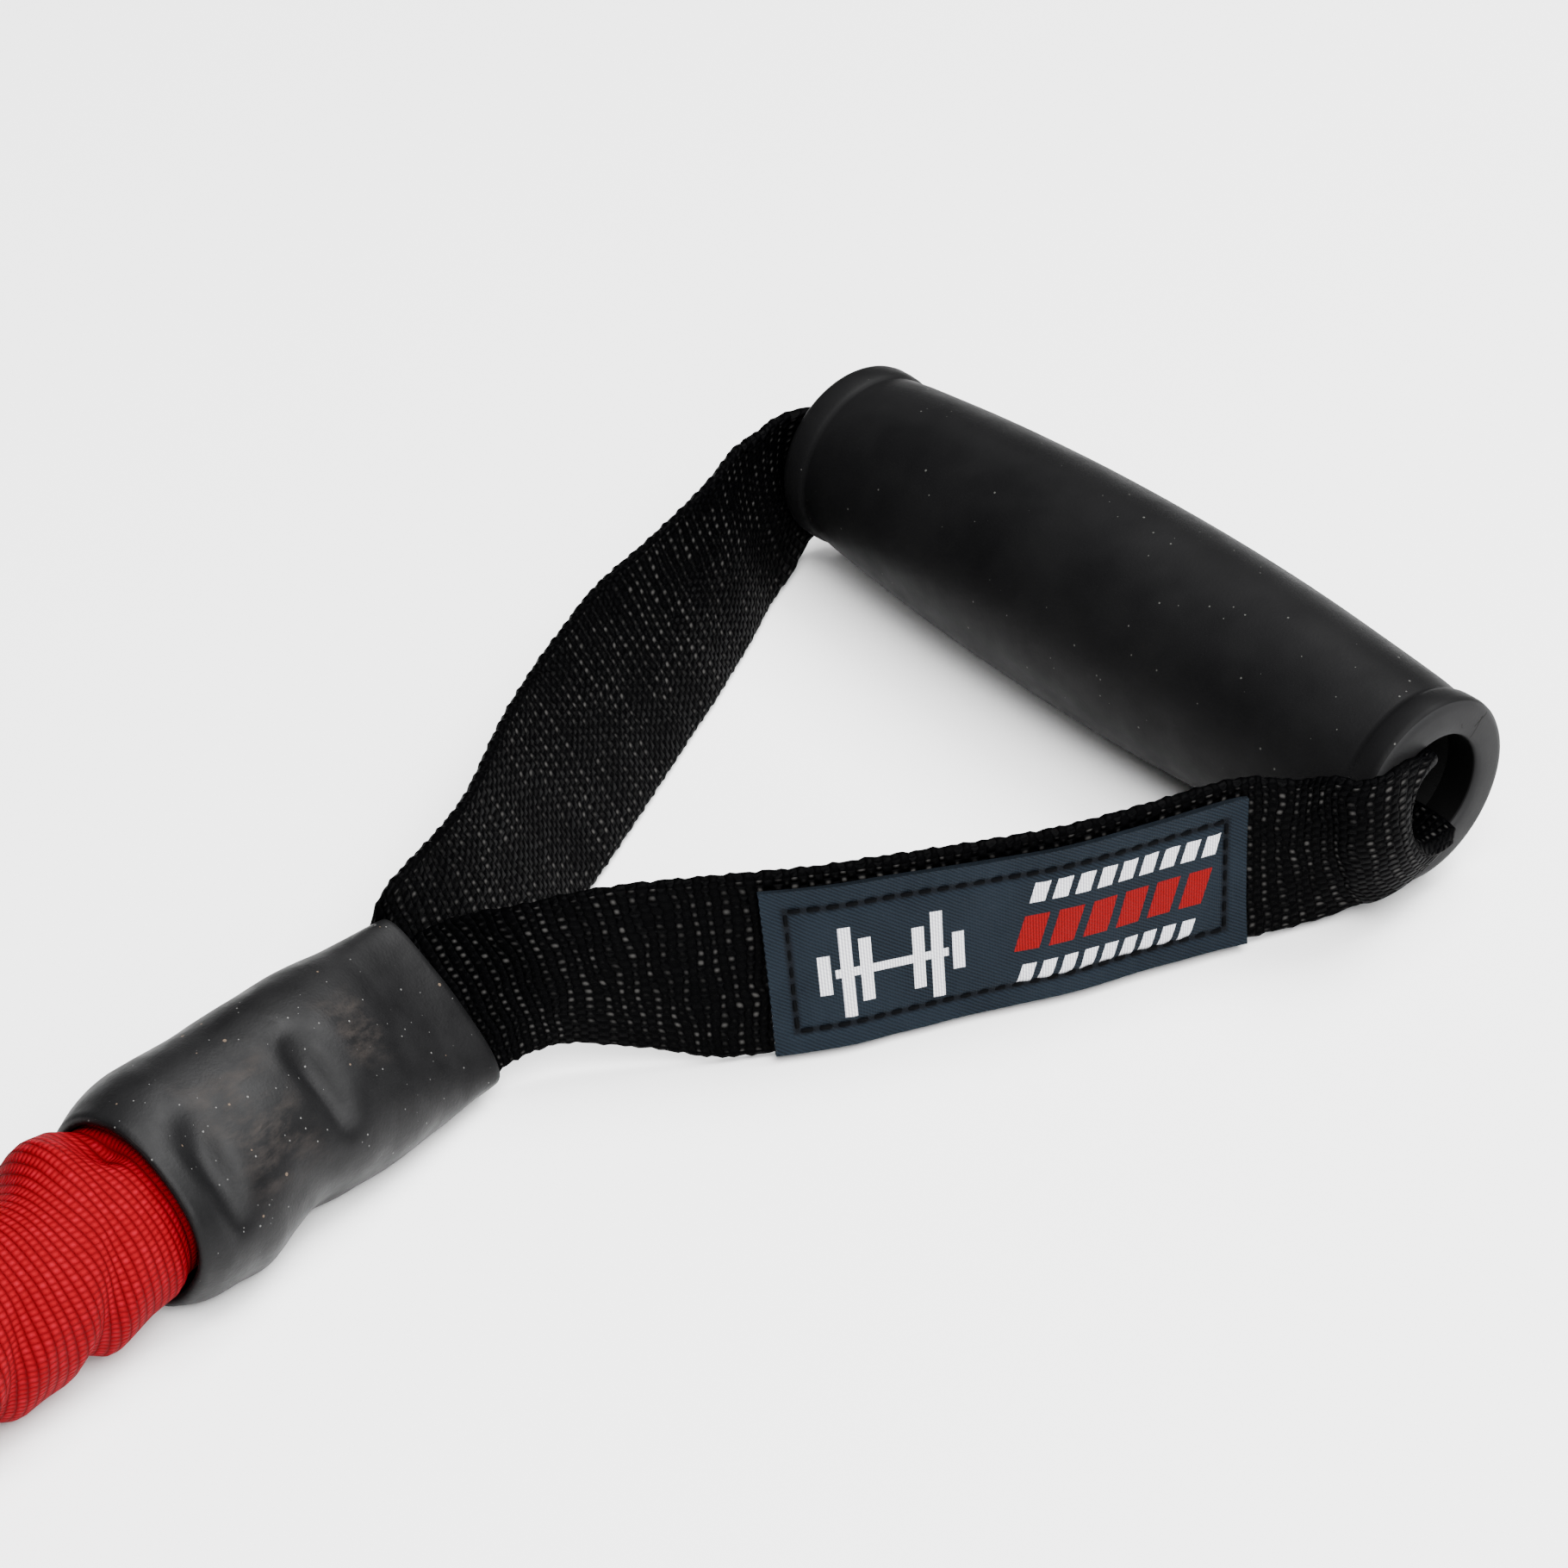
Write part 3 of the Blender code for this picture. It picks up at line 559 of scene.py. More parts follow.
def sleeve_skin(along, turn):
    """Points of the sleeve's skin."""
    width, height, square, lean, shift = smooth_table(SLEEVE_TABLE, along).T
    c, s = np.cos(turn), np.sin(turn)
    reach = (np.abs(c) ** square + np.abs(s) ** square) ** (-1 / square)
    across, out = width / 2 * reach * c, height / 2 * reach * s
    relief = np.zeros_like(out)
    for rise, t0, long, slant, x0, wide, power in SLEEVE_RELIEF:
        off_t, off_x = (along - t0 + slant * across) / long, (across - x0) / wide
        relief += rise * np.exp(-(off_t**2) - off_x**power)
    out = out + np.clip(s, 0, 1) * relief
    points = in_sleeve(along, across + shift, out, np.radians(lean))
    points[:, 2] = np.maximum(points[:, 2], ON_FLOOR)
    return points


def make_sleeve(letter, finish):
    rows, sides = 74, 84
    turns = np.tile(np.arange(sides) * math.tau / sides, rows)
    lengths = np.repeat(np.linspace(0.0, SLEEVE_LENGTH, rows), sides)
    outer = sleeve_skin(lengths, turns)
    push = ripple(outer, 9.0, 4.0) * 0.28 + ripple(outer, 3.6, 9.0) * 0.06
    outward = unit(outer - (SLEEVE_MOUTH + ALONG * lengths[:, None]))
    outer = outer + outward * push[:, None]
    outer[:, 2] = np.maximum(outer[:, 2], ON_FLOOR)
    # The cut edge at the mouth waves slightly.
    edge = np.exp(-lengths / 2.0) * 0.5 * np.sin(2 * turns + 0.8)
    outer += ALONG * edge[:, None]
    inner = outer - outward * SLEEVE_WALL
    inner[:, 2] = np.maximum(inner[:, 2], SLEEVE_WALL)
    # Each cut edge is slightly rounded.
    rim = 0.35
    rim_mouth = (outer[:sides] + inner[:sides]) / 2 - ALONG * rim
    rim_end = (outer[-sides:] + inner[-sides:]) / 2 + ALONG * rim
    turned = inner.reshape(rows, sides, 3)[::-1].reshape(-1, 3)
    points = np.concatenate([outer, rim_end, turned, rim_mouth])
    count = 2 * rows + 2
    faces = tube_faces(count, sides, closed=True)
    mapped = np.concatenate([np.linspace(0.0, SLEEVE_LENGTH, rows), -np.arange(1.0, rows + 3.0)])
    mean_radius = 14.0
    uvs = np.stack([np.repeat(mapped, sides), np.tile(turns[:sides] * mean_radius, count)], 1)
    shape = outwards(make_mesh("sleeve_skin_" + letter, points, faces, uvs, letter, finish))
    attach(shape, "band")
    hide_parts("rubber_sleeve_" + letter)


# ---------------------------------------------------------------- the grip


def belly_radius(x):
    return NECK_RADIUS + (BELLY_RADIUS - NECK_RADIUS) * (1 - (x / GRIP_HALF) ** 2)


def grip_profile():
    """(place along the grip, radius) all round a cut through its wall, from one mouth of the bore."""
    neck = GRIP_HALF - FLANGE_WIDTH
    # The bore's mouth and the end face, in from the end and out from the bore.
    mouth = ((0.7, 0.0), (0.2, 0.25), (0.0, 0.8), (-0.05, 2.2))
    # The end ring, in from the end and down from its crest.
    flange = ((0.0, 1.6), (0.12, 1.05), (0.45, 0.5), (0.95, 0.14), (1.6, 0.0))
    flange += ((3.0, -0.02), (4.3, 0.05), (5.0, 0.25), (5.5, 0.55))
    # The groove behind the ring, in from it and down from the belly's curve.
    groove = ((0.3, 0.12), (1.0, 0.12), (2.2, 0.05))
    end = [(GRIP_HALF - x, BORE_RADIUS + over) for x, over in mouth]
    end += [(GRIP_HALF - x, FLANGE_RADIUS - under) for x, under in flange]
    end += [(neck - x, belly_radius(neck - x) - under) for x, under in groove]
    belly = [(x, belly_radius(x)) for x in np.linspace(neck - 4.0, -neck + 4.0, 64)]
    # Inside, the grip holds its liner in a seat wider than the bore.
    seat, seat_radius = GRIP_HALF - 6.6, BORE_RADIUS + 1.9
    bore = [(-seat, BORE_RADIUS), (-seat, seat_radius), (seat, seat_radius), (seat, BORE_RADIUS)]
    return end + belly + [(-x, r) for x, r in reversed(end)] + bore + [(GRIP_HALF - 1.2, BORE_RADIUS)]


def make_grip(letter, finish):
    sides = 112
    profile = grip_profile()
    along = np.repeat([x for x, _ in profile], sides)
    radius = np.repeat([r for _, r in profile], sides)
    turn = np.tile(np.arange(sides) * math.tau / sides, len(profile))
    points = np.stack([along, radius * np.cos(turn), radius * np.sin(turn) + AXIS_HEIGHT], 1)
    # The outer skin is slightly uneven.
    outer = radius > BORE_RADIUS + 2.5
    sink = np.where(outer, 0.05 + 0.10 * ripple(points, 17.0, 2.0), 0.0)
    outward = unit(np.stack([along * 0, np.cos(turn), np.sin(turn)], 1))
    points = points - outward * np.maximum(sink, 0)[:, None]
    faces = tube_faces(len(profile), sides, closed=True)
    steps = np.array(profile + profile[:1])
    run = np.concatenate([[0.0], np.cumsum(np.hypot(*np.diff(steps, axis=0).T))])[:-1]
    mean_radius = 16.0
    uvs = np.stack([np.repeat(run, sides), turn * mean_radius], 1)
    shape = outwards(make_mesh("grip_skin_" + letter, points, faces, uvs, letter, finish, sharp=50))
    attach(shape, "handle_grip_" + letter)
    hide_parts("grip_" + letter)


# ---------------------------------------------------------------- the webbing


def ring(x, radius, below, curl, lean=0.0, tuck=0.0):
    """A cross-section that curls round the grip's axis, its middle that many degrees below level.

    Its edges lean back over the end of the grip, and the lower one is tucked up.
    """
    below = math.radians(below)
    out = np.array((0, -math.cos(below), -math.sin(below)))
    up = np.array((0, -math.sin(below), math.cos(below)))
    middle = np.array((x, 0, AXIS_HEIGHT)) + out * radius
    side = unit(-out - np.array((math.copysign(lean, x), 0, 0)))
    return np.concatenate([middle + up * tuck / 2, up, [WEBBING_WIDTH - tuck, curl], side])


def flat(low, high, curl=0.0, side=(0, 1, 0)):
    """A cross-section between two edges, which curls towards side by one over that radius."""
    low, high = np.array(low, float), np.array(high, float)
    chord = np.linalg.norm(high - low)
    up = (high - low) / chord
    side = np.array(side, float)
    side = unit(side - up * (side @ up))
    width, middle = chord, (low + high) / 2
    if curl:
        width = 2 * math.asin(min(chord * abs(curl) / 2, 1.0)) / abs(curl)
        half = width / 2
        middle = middle - side * (1 - math.cos(half * curl)) / curl
    return np.concatenate([middle, up, [width, curl], side])


def tail(along, out, curl, side, shift):
    """A cross-section of a webbing tail inside the sleeve: side 1 is the upper one."""
    lean = float(lean_at([along])[0])
    middle = in_sleeve(along, shift, side * out, lean)
    across = LEVEL * math.cos(lean) + UPRIGHT * math.sin(lean)
    towards = -side * (-LEVEL * math.sin(lean) + UPRIGHT * math.cos(lean))
    return np.concatenate([middle, across, [TAIL_WIDTH, curl], towards])


# Places along the sleeve, how far out of its middle each tail lies there, and its curl.
TAILS = (
    (51.8, 7.5, 0.1333),
    (44.0, 7.5, 0.1333),
    (36.0, 7.5, 0.1333),
    (32.0, 7.8, 0.129),
    (29.0, 7.7, 0.128),
    (26.5, 5.8, 0.075),
    (22.0, 5.6, 0.07),
    (17.0, 4.7, 0.056),
    (11.0, 2.6, 0.02),
    (5.0, 1.3, 0.0),
    (2.0, 1.15, 0.0),
)
NEAR_LEG = [
    flat((11.8, -132.4, 3.2), (-2.4, -134.4, 20.6), 0.012, (-0.6, -0.2, -0.75)),
    flat((12.5, -128.0, 4.4), (1.6, -129.6, 23.4), 0.03, (-0.8, -0.2, -0.4)),
    flat((14.2, -122.6, 4.8), (7.4, -124.4, 25.9), 0.04, (-0.95, -0.1, -0.2)),
    flat((19.6, -114.3, 3.0), (13.2, -116.4, 28.0), 0.02, (-0.95, 0.1, 0)),
    flat((27.3, -104.2, 0.5), (21.3, -103.2, 28.3)),
    flat((34.7, -90.5, 0.4), (29.7, -89.7, 28.3)),
    flat((37.9, -81.0, 0.4), (34.3, -80.2, 28.3)),
    flat((42.2, -68.5, 0.6), (39.9, -68.2, 28.1)),
    flat((47.1, -56.3, 0.8), (45.2, -56.1, 28.0)),
    flat((50.9, -42.6, 0.9), (49.0, -42.2, 27.9)),
    flat((55.2, -29.4, 0.8), (52.4, -28.0, 27.5), 0.004, (0.3, 1, 0)),
    flat((58.4, -19.8, 0.8), (56.8, -21.2, 26.4), 0.014, (0.2, 1, 0.1)),
]
NEAR_TURN = [
    ring(61.4, 17.7, 15, 0.026, 0.0, 1.4),
    ring(64.5, 16.7, 15.5, 0.036, 0.1, 2.9),
    ring(66.8, 14.7, 16.5, 0.046, 0.25, 4.0),
    ring(68.0, 12.2, 17.5, 0.058, 0.35, 4.2),
    ring(68.2, 10.0, 19, 0.073, 0.35, 3.3),
    ring(67.6, 8.7, 20, 0.097, 0.2, 1.6),
    ring(65.6, 8.0, 21, 0.120, 0.0, 0.6),
]
BORE_RUN = ((50, 22), (25, 22.5), (0, 23.5), (-25, 24.5), (-50, 25))
BORE = [ring(x, 8.1, below, 0.1235) for x, below in BORE_RUN]
FAR_TURN = [
    ring(-65.6, 8.0, 25, 0.120),
    ring(-67.9, 8.6, 24.5, 0.095, 0.2, 0.5),
    ring(-68.9, 10.2, 22.5, 0.070, 0.3, 1.0),
    ring(-68.8, 12.9, 19.5, 0.050, 0.25, 1.0),
    ring(-67.2, 16.1, 16, 0.034, 0.1, 0.5),
]
FAR_LEG = [
    flat((-60.4, -20.4, 0.5), (-66.2, -23.2, 27.4), 0.012, (0.6, 0.6, 0.1)),
    flat((-54.6, -29.6, 0.5), (-61.4, -33.4, 27.0)),
    flat((-45.8, -43.4, 0.5), (-55.2, -49.6, 26.6)),
    flat((-37.4, -57.6, 0.5), (-50.4, -64.4, 26.2)),
    flat((-31.6, -67.8, 0.5), (-45.0, -75.0, 26.0)),
    flat((-25.9, -77.4, 0.5), (-39.2, -85.2, 26.0)),
    flat((-17.0, -93.4, 0.5), (-29.6, -99.8, 26.0)),
    flat((-9.6, -105.6, 0.5), (-18.6, -114.0, 26.2)),
    flat((-3.0, -118.4, 0.6), (-12.6, -125.2, 26.4)),
    flat((1.6, -126.6, 1.2), (-9.4, -132.4, 26.4), 0.012, (0.9, 0.1, 0.5)),
    flat((4.2, -132.0, 2.2), (-8.0, -137.0, 25.0), 0.02, (0.9, 0.1, 0.6)),
]


def tails(side):
    """The stations of one tail, from its end to the mouth, where the two slide apart."""
    return [tail(t, out, curl, side, -side * 2.6 * math.exp(-t / 10)) for t, out, curl in TAILS]


STATIONS = np.array(tails(1) + NEAR_LEG + NEAR_TURN + BORE + FAR_TURN + FAR_LEG + tails(-1)[::-1])


def lengths_along(line):
    """How far along the line each of its points lies."""
    return np.concatenate([[0.0], np.cumsum(np.linalg.norm(np.diff(line, axis=0), axis=1))])


class Strap:
    """The strap's middle surface, by millimetres along it and a share of its half width."""

    def __init__(self):
        steps = 14
        self.places = np.linspace(0, len(STATIONS) - 1, steps * (len(STATIONS) - 1) + 1)
        self.lengths = lengths_along(spline(STATIONS[:, :3], self.places))
        self.total = self.lengths[-1]

    def length_at(self, place):
        return float(np.interp(place, self.places, self.lengths))

    def points(self, lengths, shares):
        """Middle-surface points at each pair of a length and a share from -1 to 1."""
        row = spline(STATIONS, np.interp(lengths, self.lengths, self.places))
        middle, up = row[:, :3], unit(row[:, 3:6])
        width, curl, side = row[:, 6], row[:, 7], row[:, 8:]
        side = unit(side - up * np.sum(side * up, axis=1, keepdims=True))
        reach = shares * width / 2
        safe = np.where(np.abs(curl) < 1e-4, 1e-4, curl)
        rise, sunk = np.sin(reach * safe) / safe, (1 - np.cos(reach * safe)) / safe
        return middle + up * rise[:, None] + side * sunk[:, None]

    def patch(self, lengths, shares):
        """(points, normals) on a grid. The normals point out of the loop on the near leg."""
        u, v = np.meshgrid(lengths, shares, indexing="ij")
        u, v = u.ravel(), v.ravel()
        points = self.points(u, v)
        ahead, behind = np.minimum(u + 0.4, self.total), np.maximum(u - 0.4, 0)
        along = self.points(ahead, v) - self.points(behind, v)
        upwards = self.points(u, v + 0.02) - self.points(u, v - 0.02)
        return points, unit(np.cross(along, upwards))


STRAP = Strap()


def make_webbing(letter, finish):
    rows = int(STRAP.total / 0.9)
    lengths = np.linspace(0.0, STRAP.total, rows)
    inner = np.linspace(-0.95, 0.95, 27)
    shares = np.concatenate([[-1.0, -0.985], inner, [0.985, 1.0]])
    points, normals = STRAP.patch(lengths, shares)
    count = len(shares)
    grid, out = points.reshape(rows, count, 3), normals.reshape(rows, count, 3)
    # The selvedges are scalloped where the weft turns back.
    wave = 0.16 * np.sin(lengths * math.tau / RIB_PITCH) + 0.10 * np.sin(lengths * 1.37)
    for column in (0, 1, -2, -1):
        across = unit(grid[:, column] - grid[:, count // 2])
        grid[:, column] += across * (wave * 0.9)[:, None]
    flutter = ripple(grid.reshape(-1, 3), 11.0, 6.0).reshape(rows, count) * 0.22
    grid = grid + out * flutter[..., None]
    # Its edges are rounded.
    half = np.full(count, WEBBING_THICKNESS / 2)
    half[[1, -2]] *= 0.72
    half[[0, -1]] = 0.0
    front = grid + out * half[None, :, None]
    back = grid - out * half[None, :, None]
    loop = np.concatenate([front, back[:, -2:0:-1]], axis=1)
    loop[..., 2] = np.maximum(loop[..., 2], ON_FLOOR)
    widths = shares * WEBBING_WIDTH / 2
    v = np.concatenate([widths, widths[-2:0:-1]])
    uvs = np.stack(np.meshgrid(lengths, v, indexing="ij"), -1)
    faces = tube_faces(rows, loop.shape[1], capped=True)
    name = "webbing_strap_" + letter
    shape = outwards(make_mesh(name, loop, faces, uvs, letter, finish))
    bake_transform(shape)
    ends = [side + "_webbing_tail_" + letter for side in ("near", "far")]
    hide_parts("webbing_loop_" + letter, *ends)


# ---------------------------------------------------------------- the label


def label_extent():
    """The label's four limits: its two ends along the strap, then its two edges across it."""
    leg = len(TAILS)
    lengths = np.linspace(STRAP.length_at(leg), STRAP.length_at(leg + len(NEAR_LEG)), 400)
    ys = STRAP.points(lengths, np.zeros(400))[:, 1]
    first, last = (float(np.interp(y, ys, lengths)) for y in LABEL_ENDS)
    return first, last, LABEL_MIDDLE - LABEL_HALF, LABEL_MIDDLE + LABEL_HALF


def under_label(lengths, heights):
    """(points, normals) of the strap's middle on a grid of lengths and heights in millimetres."""
    return STRAP.patch(lengths, np.asarray(heights) / (WEBBING_WIDTH / 2))


def make_label(letter, finish):
    first, last, low, high = label_extent()
    lengths, heights = np.linspace(first, last, 150), np.linspace(low, high, 56)
    points, normals = under_label(lengths, heights)
    u, v = np.meshgrid(lengths, heights, indexing="ij")
    u, v = u.ravel(), v.ravel()
    # The seam draws the cloth down along its line, and the cloth pillows on both sides of it.
    from_end, from_edge = np.minimum(u - first, last - u), np.minimum(v - low, high - v)
    off_u, off_v = np.abs(from_end - SEAM_INSET), np.abs(from_edge - SEAM_INSET)
    within_u, within_v = from_end > SEAM_INSET - 0.8, from_edge > SEAM_INSET - 0.8
    seam = np.minimum(np.where(within_v, off_u, 9.0), np.where(within_u, off_v, 9.0))
    pucker = 0.12 * np.sin(u * math.tau / STITCH_PITCH) * np.exp(-((seam / 2.2) ** 2))
    relief = 0.30 - 0.42 * np.exp(-((seam / 0.75) ** 2)) + pucker
    relief += 0.22 * ripple(points, 8.0, 12.0)
    relief = np.maximum(relief, -0.1)
    relief += 0.15 * np.exp(-np.minimum(from_end, from_edge) / 0.8)
    middle = points + normals * (LABEL_LIFT + relief)[:, None]
    rows, columns = len(lengths), len(heights)
    front = (middle + normals * LABEL_THICKNESS / 2).reshape(rows, columns, 3)
    back = (points + normals * (LABEL_LIFT - LABEL_THICKNESS / 2)).reshape(rows, columns, 3)
    # Its first end is slightly frayed.
    fray = 0.09 * np.sin(np.arange(columns) * 2.1)
    front[0] += unit(front[0] - front[1]) * fray[:, None]
    grid = np.concatenate([front.reshape(-1, 3), back.reshape(-1, 3)])
    size = rows * columns
    faces = []
    for i in range(rows - 1):
        for j in range(columns - 1):
            a, b = i * columns + j, (i + 1) * columns + j
            faces.append((a, a + 1, b + 1, b))
            faces.append((size + a, size + b, size + b + 1, size + a + 1))
    border = [(0, j) for j in range(columns)] + [(i, columns - 1) for i in range(1, rows)]
    border += [(rows - 1, j) for j in range(columns - 2, -1, -1)]
    border += [(i, 0) for i in range(rows - 2, 0, -1)]
    border = [i * columns + j for i, j in border]
    for a, b in zip(border, border[1:] + border[:1]):
        faces.append((a, size + a, size + b, b))
    # The back's coordinates lie far from the motif's.
    flat_uv = np.stack([u - first, v - LABEL_MIDDLE], 1)
    uvs = np.concatenate([flat_uv, flat_uv + 100.0])
    shape = outwards(make_mesh("label_patch_" + letter, grid, faces, uvs, letter, finish, sharp=60))
    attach(shape, "loop_" + letter)
    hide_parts("label_" + letter)


# Along one stitch: the place, how far out of the cloth it stands, and its radius.
STITCH = ((0.0, -0.35, 0.16), (0.12, 0.0, 0.34), (0.5, 0.12, 0.34), (0.88, 0.0, 0.34), (1.0, -0.35, 0.16))
STITCH_SIDES = 6


def stitch_points(ends):
    """Rings of points round one stitch between two places on the label."""
    (u0, v0), (u1, v1) = ends
    centres, normals = [], []
    for share, rise, _ in STITCH:
        points, out = under_label([u0 + (u1 - u0) * share], [v0 + (v1 - v0) * share])
        centres.append(points[0] + out[0] * (LABEL_LIFT + 0.18 + rise))
        normals.append(out[0])
    line = unit(centres[-1] - centres[0])
    for centre, out, (_, _, radius) in zip(centres, normals, STITCH):
        beside = np.cross(line, out)
        for turn in np.arange(STITCH_SIDES) * math.tau / STITCH_SIDES:
            yield centre + (beside * math.cos(turn) + out * math.sin(turn)) * radius


def make_stitches(letter, finish):
    first, last, low, high = label_extent()
    first, last, low, high = first + SEAM_INSET, last - SEAM_INSET, low + SEAM_INSET, high - SEAM_INSET
    corners = np.array([(first, low), (last, low), (last, high), (first, high)])
    points, faces = [], []
    for start, end in zip(corners, np.roll(corners, -1, axis=0)):
        count = round(math.dist(start, end) / STITCH_PITCH)
        for k in range(count):
            base = len(points)
            points += stitch_points([start + (end - start) * (k + share) / count for share in (0.12, 0.88)])
            tube = tube_faces(len(STITCH), STITCH_SIDES, capped=True)
            faces += [tuple(base + i for i in face) for face in tube]
    uvs = np.zeros((len(points), 2))
    shape = outwards(make_mesh("label_stitches_" + letter, points, faces, uvs, letter, finish))
    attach(shape, "loop_" + letter)
    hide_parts("label_thread_" + letter)


# ---------------------------------------------------------------- the band


# The cover's way between its places by the two sleeves, in the first handle's frame.
COVER_BENDS = (
    *((22.5, -262), (25, -330), (19, -400), (11, -470), (6, -540), (5, -600), (4.5, -655)),
    *((-7.7, -692.6), (-39.7, -715.9), (-79.3, -715.9), (-111.3, -692.6), (-123.5, -655)),
    *((-123.5, -605), (-120, -555), (-113, -505), (-109, -465)),
)
# By each sleeve the cover first tucks in beside the rim, then swells towards the far leg's side:
# how far out, the place and the reach along it, and the place and the reach round it.
COVER_RELIEF = (
    (-3.3, 9.2, 2.6, 1.0, 0.32),
    (0.8, 13.0, 3.0, 0.45, 0.6),
    (-1.9, 15.0, 5.0, 3.4, 0.8),
    (-3.2, 23.5, 5.5, 0.45, 0.75),
    (-1.2, 33.0, 9.0, 3.3, 0.8),
)


def evenly(line, step):
    """The line at even steps, and how far along it each point lies."""
    lengths = lengths_along(line)
    wanted = np.linspace(0, lengths[-1], int(lengths[-1] / step))
    return np.stack([np.interp(wanted, lengths, line[:, k]) for k in range(3)], 1), wanted


def cover_route():
    """Points of the cover's middle, in the row frame's millimetres, and how far along it each lies."""
    start, end = ORIGINS["a"], ORIGINS["b"]
    leaving = []
    for along, height in ((52.5, 14.0), (58.0, 13.9), (64.0, 13.5), (76.0, 12.8), (92.0, COVER_LEVEL)):
        leaving.append(np.array((*(SLEEVE_MOUTH + ALONG * along)[:2], height)))
    route = [start + p for p in leaving]
    route += [start + np.array((x, y, COVER_LEVEL)) for x, y in COVER_BENDS]
    route += [end + p for p in reversed(leaving)]
    route = np.array(route)
    places = np.linspace(0, len(route) - 1, 60 * (len(route) - 1) + 1)
    eased = evenly(spline(route, places), 4.0)[0]
    for _ in range(30):
        eased[1:-1] = (eased[:-2] + 2 * eased[1:-1] + eased[2:]) / 4
    return evenly(eased, COVER_STEP)


def cover_creases(total):
    """Oblique gathers at uneven distances: place, skew, phase, depth and width of each."""
    random.seed(11)
    # The first two are the photograph's, and stand at both ends.
    creases = [(18.7, 6.4, -2.04, 2.5, 2.3), (36.5, 4.5, -2.4, 2.1, 2.5)]
    creases += [(total - at, -skew, *rest) for at, skew, *rest in creases]
    at = 50.0
    while at < total - 45:
        skew, phase = random.uniform(2.0, 5.5), random.uniform(0, math.tau)
        creases.append((at, skew, phase, random.uniform(1.3, 2.7), random.uniform(1.7, 2.9)))
        at += random.uniform(11.0, 19.0)
    return creases


def make_cover(finish):
    route, lengths = cover_route()
    total = lengths[-1]
    tangent = unit(np.gradient(route, axis=0))
    level = unit(np.cross(tangent, (0, 0, 1)))
    upright = np.cross(level, tangent)
    sides = 60
    turn = np.arange(sides) * math.tau / sides
    from_end = np.minimum(lengths, total - lengths)
    # Inside the sleeve it is narrow; outside it bunches up.
    places = (0, 7.5, 10, 16, 24)
    half_w = np.interp(from_end, places, (11.6, 12.2, 13.6, 14.5, 13.9))[:, None]
    half_h = np.interp(from_end, places, (9.2, 9.6, 10.6, 12.2, 12.6))[:, None]
    facing = np.where(lengths < total / 2, 1.0, -1.0)[:, None]
    lean = np.radians(np.interp(from_end, (0, 20, 60, 120), (30, 26, 12, 0)))[:, None] * facing
    across, out = half_w * np.cos(turn), half_h * np.sin(turn)
    rows = len(lengths)
    s = np.repeat(lengths[:, None], sides, 1)
    theta = np.repeat(turn[None, :], rows, 0)
    crease, drift = np.zeros_like(s), np.zeros_like(s)
    for at, skew, phase, depth, wide in cover_creases(total):
        line = at + skew * np.sin(theta + phase) + 0.8 * np.sin(2 * theta + 2.1 * phase)
        strength = depth * (0.25 + 0.75 * np.cos((theta - phase) / 2) ** 2)
        near = s - line
        crease += strength * np.exp(-((near / wide) ** 2))
        # The ribs crowd towards a crease.
        drift += strength * 0.35 * np.tanh(near / wide) * np.exp(-((near / 9.0) ** 2))
    centre = route[:, None, :]
    spoke = level[:, None, :] * (across * np.cos(lean) - out * np.sin(lean))[..., None]
    spoke = spoke + upright[:, None, :] * (across * np.sin(lean) + out * np.cos(lean))[..., None]
    outward = unit(spoke)
    # The sleeve holds it smooth.
    free = np.clip((from_end - 6.0) / 8.0, 0.12, 1.0)[:, None]
    smooth = (centre + spoke).reshape(-1, 3)
    lumps = 1.1 * ripple(smooth, 13.0, 5.0) + 0.4 * ripple(smooth, 5.5, 8.0)
    push = (lumps.reshape(s.shape) + 0.9 - crease) * free
    side = (theta - math.pi / 2) * facing + math.pi / 2
    for rise, t0, long, side0, wide in COVER_RELIEF:
        off_t, off_side = (from_end[:, None] - t0) / long, (side - side0) / wide
        push += rise * np.exp(-(off_t**2) - off_side**2)
    points = centre + spoke + outward * push[..., None]
    points[..., 2] = np.maximum(points[..., 2], 0.03)
    inner = centre + spoke * 0.9 + outward * np.minimum(push, 0)[..., None]
    inner[..., 2] = np.maximum(inner[..., 2], 1.0)
    skin = np.concatenate([points.reshape(-1, 3), inner[::-1].reshape(-1, 3)])
    # A whole number of dots goes round it.
    round_it = lengths_along(np.append(spoke[40], spoke[40][:1], 0))
    v = round_it[:-1] * (round(round_it[-1] / COVER_DOT) * COVER_DOT / round_it[-1])
    uv = np.stack([s + drift, np.repeat(v[None, :], rows, 0)], -1).reshape(-1, 2)
    uvs = np.concatenate([uv, uv[::-1]])
    faces = tube_faces(2 * rows, sides, closed=True)
    shape = outwards(make_mesh("cover", skin, faces, uvs, None, finish))
    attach(shape, "band")
    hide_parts("fabric_cover", "cover_end_a", "cover_end_b")


# ---------------------------------------------------------------- the studio


# Each light: its place from the middle of the handle and its side, in metres, and its power.
LIGHTS = (
    ("key", (0.0, 0.95, 1.6), 1.1, 84.0),
    ("top", (0.75, -0.25, 1.55), 1.3, 96.0),
    ("fill", (1.25, -0.75, 0.95), 0.9, 24.0),
)


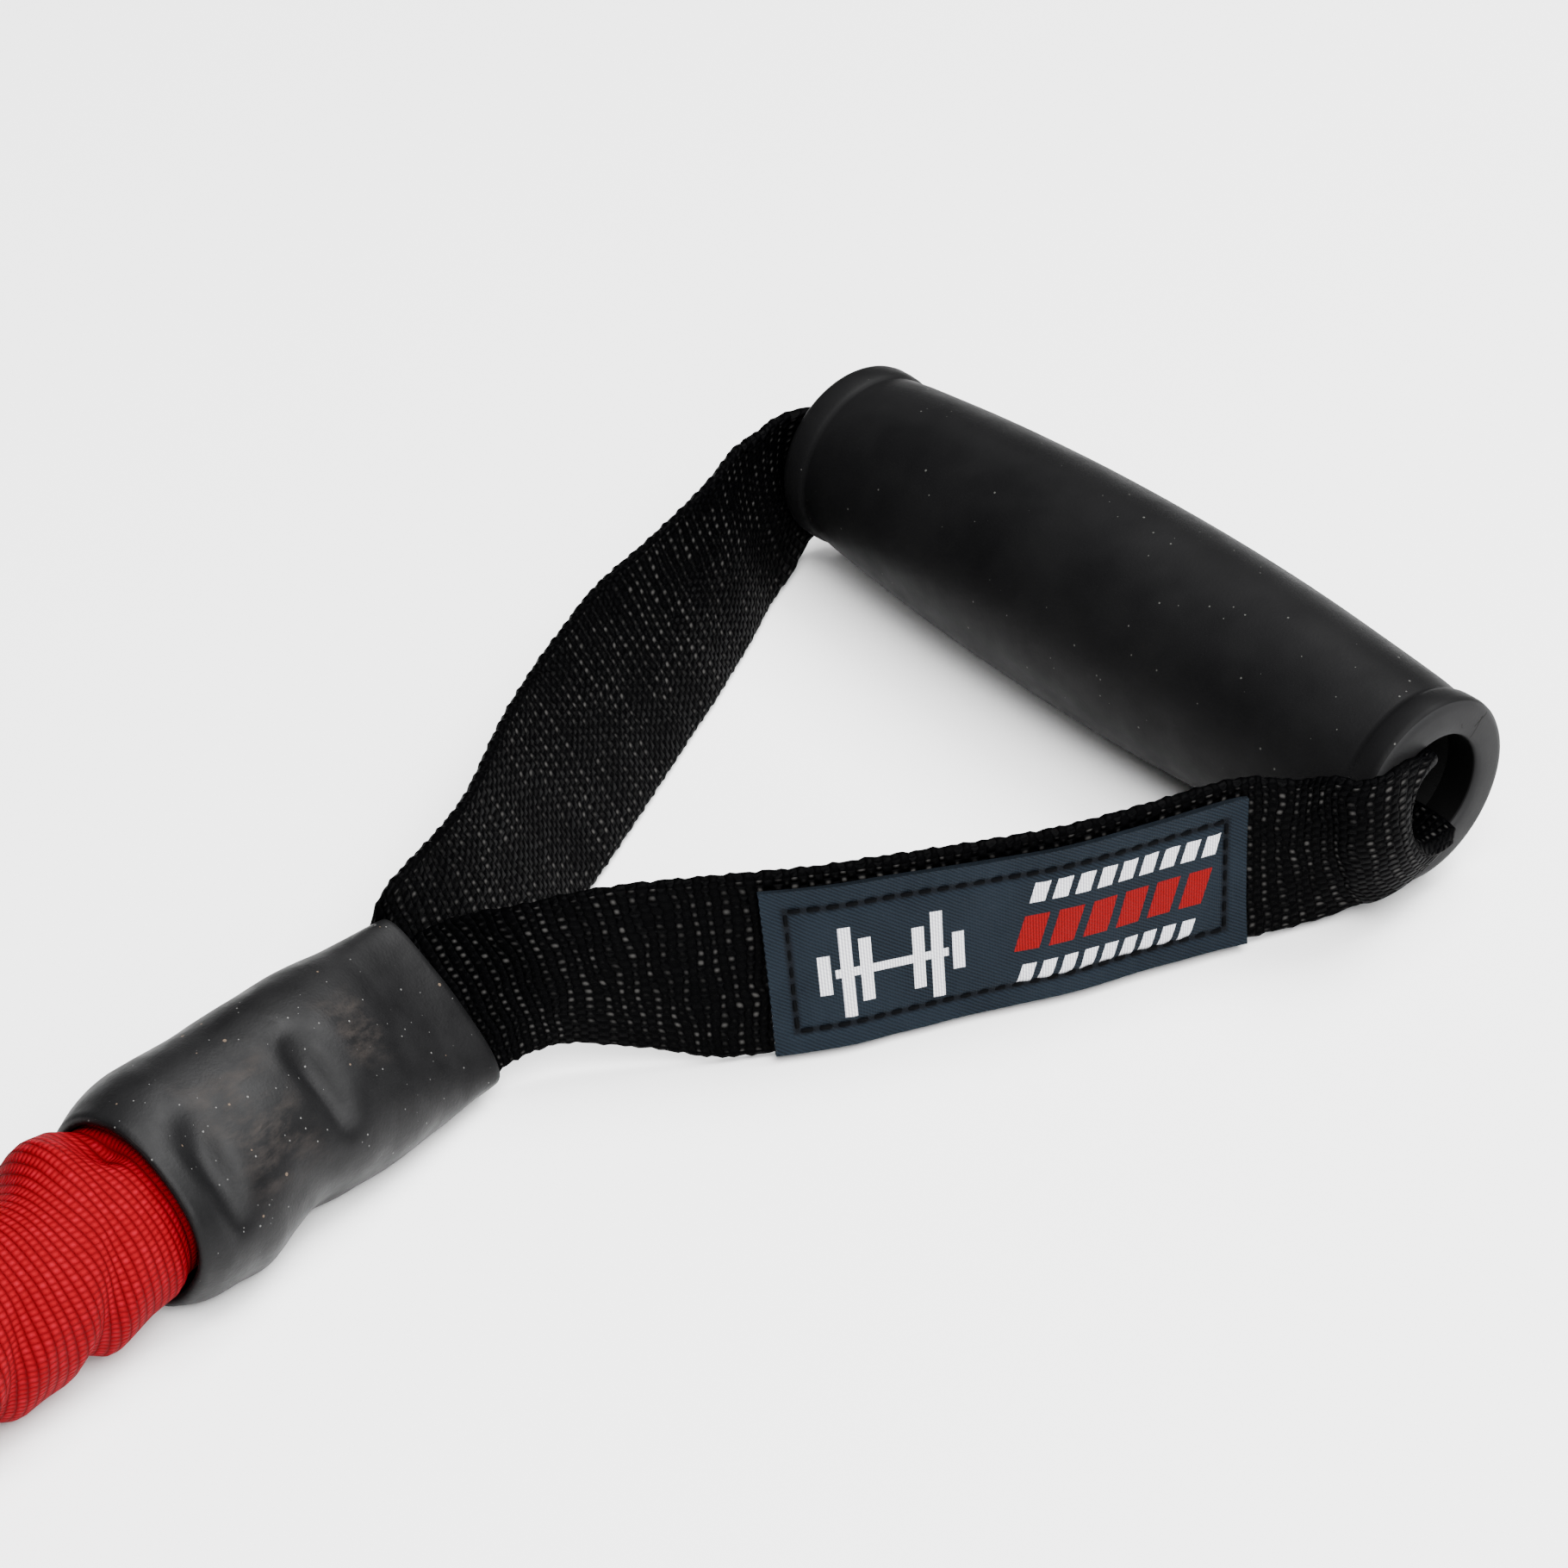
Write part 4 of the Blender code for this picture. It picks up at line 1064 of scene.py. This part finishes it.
def make_studio():
    bpy.ops.mesh.primitive_plane_add(size=FLOOR_SIZE, location=(0, 0, -FLOOR_DROP))
    floor = bpy.context.object
    floor.name = "floor"
    floor.data.materials.append(Finish("floor").finish(FLOOR_COLOR, 0.9, specular=0.1))

    world = bpy.data.worlds.new("studio")
    world.use_nodes = True
    back = world.node_tree.nodes["Background"]
    back.inputs[0].default_value = (1.0, 1.0, 1.0, 1.0)
    back.inputs[1].default_value = DAYLIGHT
    bpy.context.scene.world = world

    centre = Vector(((ORIGINS["a"] + np.array((10, -90, 15))) * MM).tolist())
    for name, offset, size, power in LIGHTS:
        light = bpy.data.lights.new(name, "AREA")
        light.shape = "SQUARE"
        light.size = size
        light.energy = power
        lamp = bpy.data.objects.new(name, light)
        bpy.context.scene.collection.objects.link(lamp)
        lamp.location = centre + Vector(offset)
        lamp.rotation_euler = (centre - lamp.location).to_track_quat("-Z", "Y").to_euler()

    camera = bpy.data.cameras.new("camera")
    camera.sensor_width = 36
    camera.lens = CAMERA_LENS
    camera.clip_start = 0.01
    eye = bpy.data.objects.new("camera", camera)
    bpy.context.scene.collection.objects.link(eye)
    eye.location = Vector(CAMERA_PLACE) + Vector((ORIGINS["a"] * MM).tolist())
    eye.rotation_euler = Vector(CAMERA_LOOKS).to_track_quat("-Z", "Y").to_euler()
    bpy.context.scene.camera = eye


def dress(node, finish):
    """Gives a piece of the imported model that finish."""
    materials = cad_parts[node].data.materials
    materials.clear()
    materials.append(finish)


def main():
    grip, sleeve, strap = grip_rubber(), sleeve_rubber(), webbing()
    first, last, _, _ = label_extent()
    cover, label = cover_fabric(), label_cloth(last - first)
    thread = plain("thread", THREAD, 0.85, specular=0.04)
    hidden = {
        "grip_liner": plain("liner_plastic", LINER_PLASTIC, 0.6, 0.01, specular=0.05),
        "tube_plug": plain("plug_plastic", PLUG_PLASTIC, 0.45, 0.01),
        "front_tie": plain("tie_steel", STEEL, 0.3, 0.01, 0.5, 1.0),
        "rear_tie": plain("tie_steel_rear", STEEL, 0.3, 0.01, 0.5, 1.0),
    }
    for letter in LETTERS:
        make_grip(letter, grip)
        make_sleeve(letter, sleeve)
        make_webbing(letter, strap)
        make_label(letter, label)
        make_stitches(letter, thread)
        for node, finish in hidden.items():
            dress(node + "_" + letter, finish)
    dress("latex_tube", plain("latex", LATEX, 0.5, 0.02))
    make_cover(cover)
    make_studio()


main()
